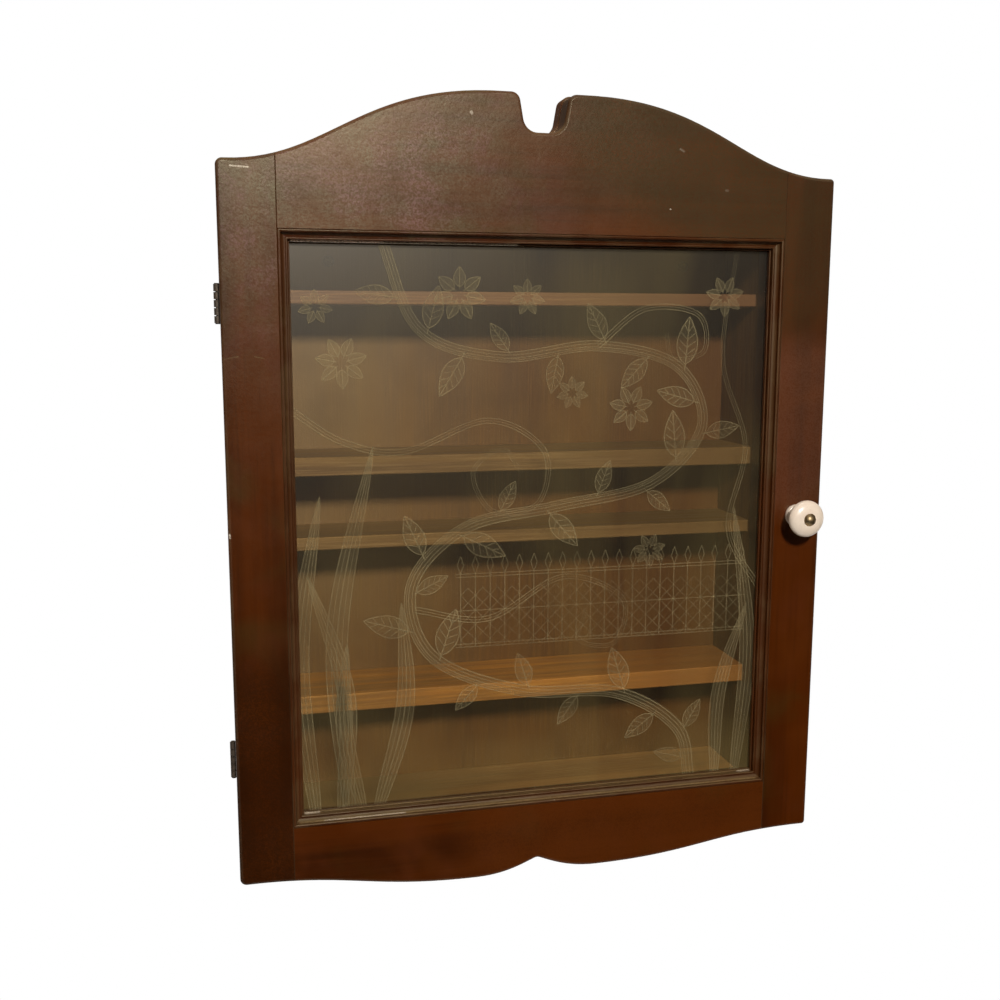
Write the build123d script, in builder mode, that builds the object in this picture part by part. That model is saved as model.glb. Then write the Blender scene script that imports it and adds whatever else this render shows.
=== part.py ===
from build123d import *
import os

# A shallow wall cabinet: a shelved case, a face frame and a glazed door with an arched crest.
# The origin is midway between the two wall screws, on the wall. +X is to the right, +Y goes
# into the wall and +Z is up. Heights are measured from the middle of the glass, and depths
# are distances out from the wall. All sizes are millimetres.

# Door outline
door_width = 469.0
door_opening_height = 444.0
stile_width = 40.5
crest_rail_end = 46.5
bottom_rail_end = 42.0
crest_rise = 53.1
crest_axis = -2.0
crest_flat = 34.0
shoulder_flat = 1.0
arch_crest_pull = 0.525
arch_shoulder_pull = 0.366
left_corner_radius = 5.0
right_corner_radius = 3.0

# Notch in the middle of the crest
notch_axis = -0.8
notch_mouth = 38.0
notch_floor = 28.0
notch_depth = 27.8
notch_lip_radius = 7.0
notch_floor_radius = 11.0

# Scalloped lower edge
scallop_drop = 15.1
scallop_low_reach = 50.0
foot_flat = 3.0
scallop_low_pull = 0.48
scallop_foot_pull = 0.44
cusp_rise = 12.0
cusp_slope_run = 12.0
cusp_slope_fall = 5.0
cusp_low_pull = 24.0
cusp_radius = 6.0

# Door frame
door_arris_radius = 2.5
arris_corner_share = 0.9
tenon_thickness = 6.0
tenon_opening_shoulder = 6.0
tenon_outer_shoulder = 10.0
mortise_end_gap = 1.0
mortise_end_wall = 9.5
joint_groove_width = 0.8
joint_groove_depth = 0.5

# Glass and the strips that hold it, with the front moulding's steps from the face inwards
glass_thickness = 3.0
glass_edge_gap = 1.0
outer_bead_set_back = 1.0
outer_bead_width = 2.4
outer_bead_rise = 0.8
cove_step = 1.2
cove_width = 3.1
cove_depth = 3.2
cove_radius = 3.2
middle_bead_step = 0.5
middle_bead_width = 1.8
inner_bead_step = 3.0
inner_bead_width = 1.3
moulding_base = 2.5
rear_bead_width = 8.0
rear_bead_thickness = 3.3
rear_bead_set_back = 0.3
rear_bead_radius = 2.0
glazing_pin_radius = 0.5
glazing_pin_hold = 6.0
glazing_pins_per_strip = 3
glazing_pin_end_margin = 40.0

# Case
case_depth = 80.0
case_board = 13.0
case_end_reveal = 5.0
housing_depth = 5.0
housing_end_gap = 0.1
rail_thickness = 12.0
rail_height = 36.0
back_panel_thickness = 4.0
shelf_set_back = 3.0
shelf_arris_radius = 1.0
thin_shelf = 10.0
thick_shelf = 14.5
shelf_1_height = 180.5
shelf_2_height = 56.3
shelf_3_height = -5.3
shelf_4_height = -131.0

# Face frame on the front of the case
face_frame_thickness = 14.0
face_frame_stile_width = 45.5
face_frame_extra_rise = 2.0
face_frame_arris_radius = 1.5
dowel_radius = 3.0
dowel_length = 30.0
dowel_edge_margin = 10.0

# Nails, pins and screws in the case
nail_radius = 0.9
nail_length = 35.0
nail_head_radius = 1.6
nail_head_height = 0.8
nail_front_margin = 12.0
nail_back_margin = 24.0
face_pin_radius = 0.7
face_pin_length = 30.0
face_pin_margin = 28.0
rail_screw_radius = 1.75
rail_screw_head_radius = 3.4
rail_screw_length = 35.0
rail_screw_spacing = 18.0

# Wall screw holes
wall_screw_drop = 22.0
wall_screw_spacing = 300.0
wall_hole_radius = 2.5

# Hinges
door_gap = 1.0
hinge_height = 170.0
hinge_length = 28.0
hinge_leaf_width = 16.0
hinge_leaf_thickness = 1.1
hinge_leaf_gap = 0.6
knuckle_radius = 2.3
knuckle_overhang = 1.8
knuckle_count = 5
knuckle_play = 0.6
knuckle_side_gap = 0.4
hinge_pin_radius = 1.0
hinge_pin_running_gap = 0.05
hinge_pin_head_radius = 1.7
hinge_pin_head_height = 0.7
hinge_screw_radius = 1.1
hinge_screw_head_radius = 2.1
hinge_screw_length = 11.0
hinge_screw_spacing = 16.0
hinge_screw_reach = 10.0

# Knob
knob_edge_margin = 22.5
knob_height = 4.0
knob_flange_radius = 8.8
knob_flange_height = 3.8
knob_flange_round = 0.4
knob_waist_radius = 6.9
knob_waist_height = 8.0
knob_waist_pull = 2.2
knob_flare_pull = 5.0
knob_head_radius = 14.7
knob_head_height = 19.0
knob_crown_pull = 3.6
knob_crown_height = 6.2
knob_bolt_radius = 2.0
knob_bolt_gap = 0.2
knob_bolt_head_radius = 5.1
knob_bolt_head_height = 3.6
knob_nut_size = 7.0
knob_nut_height = 3.0
knob_washer_radius = 4.5
knob_washer_thickness = 1.0
knob_recess_radius = 6.5
knob_recess_cover = 1.2
knob_bolt_end = 0.8

# Magnetic catch between the lock stile and the face frame
catch_edge_margin = 22.5
catch_height = 60.0
catch_magnet_radius = 4.0
catch_magnet_length = 5.0
catch_plate_radius = 6.0
catch_plate_thickness = 1.2
catch_screw_radius = 1.25
catch_screw_head_radius = 2.4
catch_screw_length = 10.0

# Sizes and places that follow from those above
moulding_width = outer_bead_width + cove_width + middle_bead_width + inner_bead_width
cove_start = outer_bead_set_back + cove_step
cove_end = cove_start + cove_depth
glass_depth = cove_end + middle_bead_step + inner_bead_step + moulding_base
door_thickness = glass_depth + glass_thickness + rear_bead_thickness + rear_bead_set_back
door_opening_width = door_width - 2 * stile_width
stile_inner_edge = door_opening_width / 2
shoulder_height = door_opening_height / 2 + crest_rail_end
foot_height = door_opening_height / 2 + bottom_rail_end
tenon_length = stile_width - mortise_end_wall - mortise_end_gap
case_inner_width = door_width - 2 * face_frame_stile_width
case_inner_height = door_opening_height + 2 * case_end_reveal
face_frame_front = case_depth + face_frame_thickness
door_back = face_frame_front + door_gap
door_front = door_back + door_thickness
panel_front = rail_thickness + back_panel_thickness
shelf_depth = case_depth - shelf_set_back - panel_front
wall_screw_height = case_inner_height / 2 - wall_screw_drop
knob_x = door_width / 2 - knob_edge_margin
catch_x = door_width / 2 - catch_edge_margin
hinge_axis_x = -door_width / 2 - knuckle_overhang
hinge_axis_depth = face_frame_front + door_gap / 2
knuckle_pitch = hinge_length / knuckle_count
shelves = {
    "shelf_1": (shelf_1_height, thin_shelf),
    "shelf_2": (shelf_2_height, thick_shelf),
    "shelf_3": (shelf_3_height, thin_shelf),
    "shelf_4": (shelf_4_height, thick_shelf),
}

# The front view, standing on the wall, with its origin at the middle of the glass
elevation = Plane(origin=(0, 0, -wall_screw_height), x_dir=(1, 0, 0), z_dir=(0, -1, 0))

os.makedirs("parts", exist_ok=True)


def save(piece, label):
    """Label a finished piece and write it to its own file."""
    piece.label = label
    export_step(piece, f"parts/{label}.step")


def place(x, height, depth):
    """A point of the front view in the part's own frame."""
    return elevation.from_local_coords((x, height, depth))


def outwards(x, height, depth):
    """A plane facing the viewer at a point of the front view."""
    return Plane(origin=place(x, height, depth), x_dir=(1, 0, 0), z_dir=(0, -1, 0))


def inwards(x, height, depth):
    """A plane facing the wall at a point of the front view."""
    return Plane(origin=place(x, height, depth), x_dir=(1, 0, 0), z_dir=(0, 1, 0))


def upright(x, height, depth):
    """A plane facing up, for what turns about the hinge line."""
    return Plane(origin=place(x, height, depth), x_dir=(1, 0, 0), z_dir=(0, 0, 1))


def sideways(side, x, height, depth):
    """A plane facing along X, to the right for side 1 and to the left for side -1."""
    return Plane(origin=place(x, height, depth), x_dir=(0, 1, 0), z_dir=(side, 0, 0))


def headed_pin(plane, radius, length, head_radius, head_height):
    """A straight pin with a flat head, driven against the plane's direction."""
    with BuildPart() as pin:
        with BuildSketch(plane.offset(-head_height)):
            Circle(head_radius)
        extrude(amount=head_height)
        with BuildSketch(plane.offset(-length)):
            Circle(radius)
        extrude(amount=length)
    return pin.part


def countersunk_screw(plane, radius, length, head_radius):
    """A flat-headed wood screw, driven against the plane's direction until it is flush."""
    head_height = head_radius - radius
    point_height = 2 * radius
    with BuildPart() as screw:
        with BuildSketch(Plane(origin=plane.origin, x_dir=plane.x_dir, z_dir=-plane.y_dir)):
            with BuildLine():
                Polyline(
                    (0, 0),
                    (head_radius, 0),
                    (radius, -head_height),
                    (radius, point_height - length),
                    (0, -length),
                    close=True,
                )
            make_face()
        revolve(axis=Axis(plane.origin, plane.z_dir))
    return screw.part


def outline(plane, extra_rise=0.0):
    """The arched, notched and scalloped shape shared by the door and the face frame."""
    half = door_width / 2
    crest = shoulder_height + crest_rise + extra_rise
    shoulder = shoulder_height + extra_rise
    low = foot_height + scallop_drop
    with BuildSketch(plane) as shape:
        with BuildLine():
            for side, corner_radius in ((-1, left_corner_radius), (1, right_corner_radius)):
                arch_start = crest_axis + side * crest_flat
                arch_end = side * (half - corner_radius - shoulder_flat)
                arch_run = arch_end - arch_start
                Line((crest_axis, crest), (arch_start, crest))
                Bezier(
                    (arch_start, crest),
                    (arch_start + arch_crest_pull * arch_run, crest),
                    (arch_end - arch_shoulder_pull * arch_run, shoulder),
                    (arch_end, shoulder),
                )
                foot_end = side * (half - corner_radius - foot_flat)
                Polyline(
                    (arch_end, shoulder),
                    (side * half, shoulder),
                    (side * half, -foot_height),
                    (foot_end, -foot_height),
                )
                low_point = crest_axis + side * scallop_low_reach
                scallop_run = foot_end - low_point
                Bezier(
                    (foot_end, -foot_height),
                    (foot_end - scallop_foot_pull * scallop_run, -foot_height),
                    (low_point + scallop_low_pull * scallop_run, -low),
                    (low_point, -low),
                )
                Bezier(
                    (low_point, -low),
                    (low_point - side * cusp_low_pull, -low),
                    (crest_axis + side * cusp_slope_run, cusp_rise - low - cusp_slope_fall),
                    (crest_axis, cusp_rise - low),
                )
        make_face()
        with BuildLine():
            Polyline(
                (notch_axis - notch_mouth / 2, crest),
                (notch_axis - notch_floor / 2, crest - notch_depth),
                (notch_axis + notch_floor / 2, crest - notch_depth),
                (notch_axis + notch_mouth / 2, crest),
                close=True,
            )
        make_face(mode=Mode.SUBTRACT)
        lips = shape.vertices().sort_by_distance((notch_axis, crest))[:2]
        fillet(lips, radius=notch_lip_radius)
        floor_corners = shape.vertices().sort_by_distance((notch_axis, crest - notch_depth))[:2]
        fillet(floor_corners, radius=notch_floor_radius)
        cusp = shape.vertices().sort_by_distance((crest_axis, cusp_rise - low))[:1]
        fillet(cusp, radius=cusp_radius)
        fillet(shape.vertices().sort_by(Axis.X)[:2], radius=left_corner_radius)
        fillet(shape.vertices().sort_by(Axis.X)[-2:], radius=right_corner_radius)
    return shape.sketch


# Nails through the sides into the ends of the top and bottom
nail_depths = (
    nail_back_margin,
    (case_depth + nail_back_margin - nail_front_margin) / 2,
    case_depth - nail_front_margin,
)
case_outer_x = case_inner_width / 2 + case_board
board_middle = (case_inner_height + case_board) / 2
with BuildPart() as case_nails:
    for side in (-1, 1):
        for end in (-1, 1):
            for nail_depth in nail_depths:
                nail_plane = sideways(side, side * case_outer_x, end * board_middle, nail_depth)
                add(headed_pin(nail_plane, nail_radius, nail_length, nail_head_radius, nail_head_height))
save(case_nails.part, "case_nails")

# Screws through the sides into the ends of the hanging rail
rail_middle = (case_inner_height - rail_height) / 2
with BuildPart() as rail_screws:
    for side in (-1, 1):
        for step in (-1, 1):
            screw_height = rail_middle + step * rail_screw_spacing / 2
            screw_plane = sideways(side, side * case_outer_x, screw_height, rail_thickness / 2)
            add(
                countersunk_screw(
                    screw_plane, rail_screw_radius, rail_screw_length, rail_screw_head_radius
                )
            )
save(rail_screws.part, "rail_screws")

# Headless pins through the face frame into the front edges of the case
side_pin_x = (case_inner_width + case_board) / 2
side_pin_top = case_inner_height / 2 - face_pin_margin
end_pin_reach = case_inner_width / 2 - face_pin_margin
side_pin_rows = 4
end_pin_rows = 3
with BuildPart() as face_frame_pins:
    with BuildSketch(elevation.offset(face_frame_front - face_pin_length)):
        with GridLocations(2 * side_pin_x, 2 * side_pin_top / (side_pin_rows - 1), 2, side_pin_rows):
            Circle(face_pin_radius)
        with GridLocations(2 * end_pin_reach / (end_pin_rows - 1), 2 * board_middle, end_pin_rows, 2):
            Circle(face_pin_radius)
    extrude(amount=face_pin_length)
save(face_frame_pins.part, "face_frame_pins")

# Dowels between the stiles and rails of the face frame
frame_joint_x = case_inner_width / 2
dowel_heights = (
    case_inner_height / 2 + dowel_edge_margin,
    shoulder_height - dowel_edge_margin,
    -case_inner_height / 2 - dowel_edge_margin,
    dowel_edge_margin - foot_height,
)
dowel_depth = case_depth + face_frame_thickness / 2
with BuildPart() as face_frame_dowels:
    for side in (-1, 1):
        for dowel_height in dowel_heights:
            with BuildSketch(sideways(1, side * frame_joint_x, dowel_height, dowel_depth)):
                Circle(dowel_radius)
            extrude(amount=dowel_length / 2, both=True)
save(face_frame_dowels.part, "face_frame_dowels")

# Wall screw holes, cut through the hanging rail and the back panel
with BuildPart() as wall_holes:
    with BuildSketch(elevation):
        with Locations((0, wall_screw_height)):
            with GridLocations(wall_screw_spacing, 0, 2, 1):
                Circle(wall_hole_radius)
    extrude(amount=panel_front)

# Back panel, held in grooves all round
with BuildPart() as panel_groove:
    with BuildSketch(elevation.offset(rail_thickness)):
        Rectangle(case_inner_width + 2 * housing_depth, case_inner_height + 2 * housing_depth)
    extrude(amount=back_panel_thickness)

panel_width = case_inner_width + 2 * (housing_depth - housing_end_gap)
panel_height = case_inner_height + 2 * (housing_depth - housing_end_gap)
with BuildPart() as back_panel:
    with BuildSketch(elevation.offset(rail_thickness)):
        Rectangle(panel_width, panel_height)
    extrude(amount=back_panel_thickness)
    add(wall_holes.part, mode=Mode.SUBTRACT)
save(back_panel.part, "back_panel")

# Hanging rail, behind the panel and under the top
with BuildPart() as hanging_rail:
    with BuildSketch(elevation):
        with Locations((0, rail_middle)):
            Rectangle(case_inner_width, rail_height)
    extrude(amount=rail_thickness)
    add(wall_holes.part, mode=Mode.SUBTRACT)
    add(rail_screws.part, mode=Mode.SUBTRACT)
save(hanging_rail.part, "hanging_rail")

# Top and bottom of the case, housed in the ends of the sides
for label, end in (("case_top", 1), ("case_bottom", -1)):
    with BuildPart() as end_board:
        with BuildSketch(elevation):
            with Locations((0, end * board_middle)):
                Rectangle(case_inner_width + 2 * housing_depth, case_board)
        extrude(amount=case_depth)
        add(panel_groove.part, mode=Mode.SUBTRACT)
        add(case_nails.part, mode=Mode.SUBTRACT)
        add(face_frame_pins.part, mode=Mode.SUBTRACT)
    save(end_board.part, label)

# Sides of the case, with housings for the top, the bottom, the panel and the shelves
for label, side in (("case_side_left", -1), ("case_side_right", 1)):
    with BuildPart() as side_board:
        with BuildSketch(elevation):
            with Locations((side * side_pin_x, 0)):
                Rectangle(case_board, case_inner_height + 2 * case_board)
        extrude(amount=case_depth)
        with BuildSketch(elevation):
            with GridLocations(0, 2 * board_middle, 1, 2):
                Rectangle(case_inner_width + 2 * housing_depth, case_board)
        extrude(amount=case_depth, mode=Mode.SUBTRACT)
        with BuildSketch(elevation.offset(panel_front)):
            for shelf_height, shelf_thickness in shelves.values():
                with Locations((0, shelf_height - shelf_thickness / 2)):
                    Rectangle(case_inner_width + 2 * housing_depth, shelf_thickness)
        extrude(amount=shelf_depth, mode=Mode.SUBTRACT)
        add(panel_groove.part, mode=Mode.SUBTRACT)
        add(case_nails.part, mode=Mode.SUBTRACT)
        add(rail_screws.part, mode=Mode.SUBTRACT)
        add(face_frame_pins.part, mode=Mode.SUBTRACT)
    save(side_board.part, label)

# Shelves, with their ends in the housings and eased front edges
for label, (shelf_height, shelf_thickness) in shelves.items():
    with BuildPart() as shelf:
        with BuildSketch(elevation.offset(panel_front)):
            with Locations((0, shelf_height - shelf_thickness / 2)):
                Rectangle(panel_width, shelf_thickness)
        extrude(amount=shelf_depth)
        front_edges = shelf.faces().sort_by(Axis.Y)[0].edges().filter_by(Axis.X)
        fillet(front_edges, radius=shelf_arris_radius)
    save(shelf.part, label)

# Hinges: a leaf in the face frame, a leaf in the door and a pin through their knuckles
case_leaf_face = hinge_axis_depth - hinge_leaf_gap / 2
door_leaf_face = hinge_axis_depth + hinge_leaf_gap / 2
hinge_places = {"upper": hinge_height, "lower": -hinge_height}


def knuckle_bottom(height, number):
    """The lower end of one knuckle's share of the hinge."""
    return height - hinge_length / 2 + number * knuckle_pitch


def hinge_leaf(height, leaf_back, own_knuckles, bore_radius):
    """A leaf from its own knuckles inwards, with room round the other leaf's knuckles."""
    with BuildPart() as leaf:
        with BuildSketch(outwards(hinge_axis_x, height, leaf_back)):
            with Locations((hinge_leaf_width / 2, 0)):
                Rectangle(hinge_leaf_width, hinge_length - knuckle_play)
        extrude(amount=hinge_leaf_thickness)
        for number in range(knuckle_count):
            knuckle_foot = knuckle_bottom(height, number)
            if number in own_knuckles:
                knuckle_plane = upright(hinge_axis_x, knuckle_foot + knuckle_play / 2, hinge_axis_depth)
                with BuildSketch(knuckle_plane):
                    Circle(knuckle_radius)
                extrude(amount=knuckle_pitch - knuckle_play)
            else:
                with BuildSketch(upright(hinge_axis_x, knuckle_foot, hinge_axis_depth)):
                    Circle(knuckle_radius + knuckle_side_gap)
                extrude(amount=knuckle_pitch, mode=Mode.SUBTRACT)
        with BuildSketch(upright(hinge_axis_x, height - hinge_length / 2, hinge_axis_depth)):
            Circle(bore_radius)
        extrude(amount=hinge_length, mode=Mode.SUBTRACT)
    return leaf.part


def hinge_recesses(leaf_back):
    """The shallow mortises for the leaves on one side of the joint, eased round the knuckles."""
    with BuildPart() as recesses:
        with BuildSketch(outwards(hinge_axis_x, 0, leaf_back)):
            with Locations((hinge_leaf_width / 2, 0)):
                with GridLocations(0, 2 * hinge_height, 1, 2):
                    Rectangle(hinge_leaf_width, hinge_length - knuckle_play)
        extrude(amount=hinge_leaf_thickness)
        for height in hinge_places.values():
            with BuildSketch(upright(hinge_axis_x, knuckle_bottom(height, 0), hinge_axis_depth)):
                Circle(knuckle_radius + knuckle_side_gap)
            extrude(amount=hinge_length)
    return recesses.part


def hinge_screws(plane_at):
    """Two screws in each leaf on one side of the joint."""
    with BuildPart() as screws:
        for height in hinge_places.values():
            for step in (-1, 1):
                screw_plane = plane_at(
                    hinge_axis_x + hinge_screw_reach, height + step * hinge_screw_spacing / 2
                )
                add(
                    countersunk_screw(
                        screw_plane, hinge_screw_radius, hinge_screw_length, hinge_screw_head_radius
                    )
                )
    return screws.part


hinge_case_screws = hinge_screws(lambda x, height: outwards(x, height, case_leaf_face))
hinge_door_screws = hinge_screws(lambda x, height: inwards(x, height, door_leaf_face))
save(hinge_case_screws, "hinge_case_screws")
save(hinge_door_screws, "hinge_door_screws")

case_knuckles = range(0, knuckle_count, 2)
door_knuckles = range(1, knuckle_count, 2)
case_leaf_back = case_leaf_face - hinge_leaf_thickness
for name, height in hinge_places.items():
    with BuildPart() as case_leaf:
        add(hinge_leaf(height, case_leaf_back, case_knuckles, hinge_pin_radius))
        add(hinge_case_screws, mode=Mode.SUBTRACT)
    save(case_leaf.part, f"hinge_{name}_case_leaf")

    with BuildPart() as door_leaf:
        door_bore_radius = hinge_pin_radius + hinge_pin_running_gap
        add(hinge_leaf(height, door_leaf_face, door_knuckles, door_bore_radius))
        add(hinge_door_screws, mode=Mode.SUBTRACT)
    save(door_leaf.part, f"hinge_{name}_door_leaf")

    with BuildPart() as hinge_pin:
        pin_reach = (hinge_length - knuckle_play) / 2
        with BuildSketch(upright(hinge_axis_x, height - pin_reach, hinge_axis_depth)):
            Circle(hinge_pin_radius)
        extrude(amount=2 * pin_reach)
        for end in (-1, 1):
            head_plane = upright(hinge_axis_x, height + end * pin_reach, hinge_axis_depth)
            with BuildSketch(head_plane):
                Circle(hinge_pin_head_radius)
            extrude(amount=end * hinge_pin_head_height)
    save(hinge_pin.part, f"hinge_{name}_pin")

# Catch: a magnet let into the face frame and a steel plate screwed to the door
with BuildPart() as catch_magnet:
    with BuildSketch(outwards(catch_x, catch_height, face_frame_front - catch_magnet_length)):
        Circle(catch_magnet_radius)
    extrude(amount=catch_magnet_length)
save(catch_magnet.part, "catch_magnet")

catch_screw = countersunk_screw(
    inwards(catch_x, catch_height, door_back),
    catch_screw_radius,
    catch_screw_length,
    catch_screw_head_radius,
)
save(catch_screw, "catch_plate_screw")

with BuildPart() as catch_plate_blank:
    with BuildSketch(outwards(catch_x, catch_height, door_back)):
        Circle(catch_plate_radius)
    extrude(amount=catch_plate_thickness)

with BuildPart() as catch_plate:
    add(catch_plate_blank.part)
    add(catch_screw, mode=Mode.SUBTRACT)
save(catch_plate.part, "catch_plate")


def frame_member(blank, left, right, upper, lower):
    """The stretch of a framed blank between two uprights and two heights."""
    with BuildPart() as member:
        add(blank)
        with BuildSketch(elevation):
            with Locations(((left + right) / 2, (upper + lower) / 2)):
                Rectangle(right - left, upper - lower)
        extrude(amount=door_front, mode=Mode.INTERSECT)
    return member.part


outline_reach = foot_height + scallop_drop + crest_rise + notch_depth
outer_edge = door_width / 2
arris_limit = arris_corner_share * min(left_corner_radius, right_corner_radius)

# Face frame: one blank of the door's shape, cut into stiles and rails
with BuildPart() as face_frame_blank:
    extrude(outline(elevation.offset(case_depth), face_frame_extra_rise), amount=face_frame_thickness)
    face_frame_edges = face_frame_blank.faces().sort_by(Axis.Y)[0].outer_wire().edges()
    fillet(face_frame_edges, radius=min(face_frame_arris_radius, arris_limit))
    with BuildSketch(elevation.offset(case_depth)):
        Rectangle(case_inner_width, case_inner_height)
    extrude(amount=face_frame_thickness, mode=Mode.SUBTRACT)

face_frame_bounds = {
    "face_frame_stile_left": (-outer_edge, -frame_joint_x, outline_reach, -outline_reach),
    "face_frame_stile_right": (frame_joint_x, outer_edge, outline_reach, -outline_reach),
    "face_frame_crest_rail": (-frame_joint_x, frame_joint_x, outline_reach, 0),
    "face_frame_bottom_rail": (-frame_joint_x, frame_joint_x, 0, -outline_reach),
}
for label, bounds in face_frame_bounds.items():
    with BuildPart() as frame_piece:
        add(frame_member(face_frame_blank.part, *bounds))
        add(face_frame_dowels.part, mode=Mode.SUBTRACT)
        add(face_frame_pins.part, mode=Mode.SUBTRACT)
        add(hinge_recesses(case_leaf_back), mode=Mode.SUBTRACT)
        add(hinge_case_screws, mode=Mode.SUBTRACT)
        add(catch_magnet.part, mode=Mode.SUBTRACT)
    save(frame_piece.part, label)

# Glass strips: each runs along one side of the door's opening and is mitred at its ends
opening_corners = (
    (-stile_inner_edge, -door_opening_height / 2),
    (stile_inner_edge, -door_opening_height / 2),
    (stile_inner_edge, door_opening_height / 2),
    (-stile_inner_edge, door_opening_height / 2),
)
strip_sides = {
    "bottom": ((0, -door_opening_height / 2), (0, 1), 0),
    "right": ((stile_inner_edge, 0), (-1, 0), 1),
    "top": ((0, door_opening_height / 2), (0, -1), 2),
    "left": ((-stile_inner_edge, 0), (1, 0), 3),
}


def strip_plane(foot, inward, depth):
    """A plane across a strip: x runs inwards from the opening and y runs back from the face."""
    x_dir = Vector(inward[0], 0, inward[1])
    return Plane(origin=place(*foot, depth), x_dir=x_dir, z_dir=x_dir.cross(Vector(0, 1, 0)))


def mitred_strip(section, corner, width):
    """A strip of one section along one side of the opening, cut to 45 degrees at each end."""
    outer = (opening_corners[corner], opening_corners[(corner + 1) % 4])
    inner = [
        (x - width * (1 if x > 0 else -1), height - width * (1 if height > 0 else -1))
        for x, height in outer
    ]
    with BuildPart() as strip:
        extrude(section, amount=door_width, both=True)
        with BuildSketch(elevation):
            with BuildLine():
                Polyline(outer[0], outer[1], inner[1], inner[0], close=True)
            make_face()
        extrude(amount=door_front, mode=Mode.INTERSECT)
    return strip.part


def moulding_section(plane):
    """The front moulding: a flush bead, a cove, and two finer beads stepping down to the glass."""
    outer_end = outer_bead_width
    middle_start = outer_end + cove_width
    middle_end = middle_start + middle_bead_width
    middle_depth = cove_end + middle_bead_step
    inner_depth = middle_depth + inner_bead_step
    with BuildSketch(plane) as section:
        with BuildLine():
            Line((0, glass_depth), (0, outer_bead_set_back))
            ThreePointArc(
                (0, outer_bead_set_back),
                (outer_end / 2, outer_bead_set_back - outer_bead_rise),
                (outer_end, outer_bead_set_back),
            )
            Line((outer_end, outer_bead_set_back), (outer_end, cove_start))
            RadiusArc((outer_end, cove_start), (middle_start, cove_end), cove_radius)
            Line((middle_start, cove_end), (middle_start, middle_depth))
            SagittaArc((middle_start, middle_depth), (middle_end, middle_depth), -middle_bead_width / 2)
            Line((middle_end, middle_depth), (middle_end, inner_depth))
            SagittaArc((middle_end, inner_depth), (moulding_width, inner_depth), -inner_bead_width / 2)
            Polyline((moulding_width, inner_depth), (moulding_width, glass_depth), (0, glass_depth))
        make_face()
    return section.sketch


def rear_bead_section(plane):
    """The bead behind the glass, rounded on its free corner."""
    bead_middle = glass_depth + glass_thickness + rear_bead_thickness / 2
    with BuildSketch(plane) as section:
        with Locations((rear_bead_width / 2, bead_middle)):
            Rectangle(rear_bead_width, rear_bead_thickness)
        free_corner = section.vertices().sort_by_distance((rear_bead_width, door_thickness))[:1]
        fillet(free_corner, radius=rear_bead_radius)
    return section.sketch


# Pins through the rear beads into the edges of the opening
pin_depth = door_back + rear_bead_set_back + rear_bead_thickness / 2
with BuildPart() as glazing_pins:
    for foot, inward, corner in strip_sides.values():
        along = Vector(-inward[1], inward[0])
        run = abs(along.X) * door_opening_width + abs(along.Y) * door_opening_height
        pin_step = (run - 2 * glazing_pin_end_margin) / (glazing_pins_per_strip - 1)
        for number in range(glazing_pins_per_strip):
            offset = (number - (glazing_pins_per_strip - 1) / 2) * pin_step
            pin_foot = (foot[0] + along.X * offset, foot[1] + along.Y * offset)
            pin_base = Plane(
                origin=place(*pin_foot, pin_depth),
                x_dir=(0, 1, 0),
                z_dir=(inward[0], 0, inward[1]),
            )
            with BuildSketch(pin_base.offset(-glazing_pin_hold)):
                Circle(glazing_pin_radius)
            extrude(amount=glazing_pin_hold + rear_bead_width)
save(glazing_pins.part, "glazing_pins")

for name, (foot, inward, corner) in strip_sides.items():
    section_plane = strip_plane(foot, inward, door_front)
    moulding = mitred_strip(moulding_section(section_plane), corner, moulding_width)
    save(moulding, f"glass_moulding_{name}")

    with BuildPart() as rear_bead:
        add(mitred_strip(rear_bead_section(section_plane), corner, rear_bead_width))
        add(glazing_pins.part, mode=Mode.SUBTRACT)
    save(rear_bead.part, f"glass_bead_{name}")

with BuildPart() as glass_pane:
    with BuildSketch(elevation.offset(door_front - glass_depth - glass_thickness)):
        Rectangle(door_opening_width - 2 * glass_edge_gap, door_opening_height - 2 * glass_edge_gap)
    extrude(amount=glass_thickness)
save(glass_pane.part, "glass_pane")

# Knob: a turned knob, held by a domed bolt through the stile and a nut in a recess behind
knob_plane = outwards(knob_x, knob_height, door_front)
knob_axis = Axis(knob_plane.origin, knob_plane.z_dir)
knob_section = Plane(origin=knob_plane.origin, x_dir=(1, 0, 0), z_dir=(0, 0, 1))
knob_bore_radius = knob_bolt_radius + knob_bolt_gap
knob_projection = knob_head_height + knob_crown_height
knob_recess_depth = knob_washer_thickness + knob_nut_height + knob_bolt_end + knob_recess_cover


def knob_point(radius, out):
    """A point of the knob's section: x is the radius, and out is measured from the door."""
    return (radius, -out)


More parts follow.
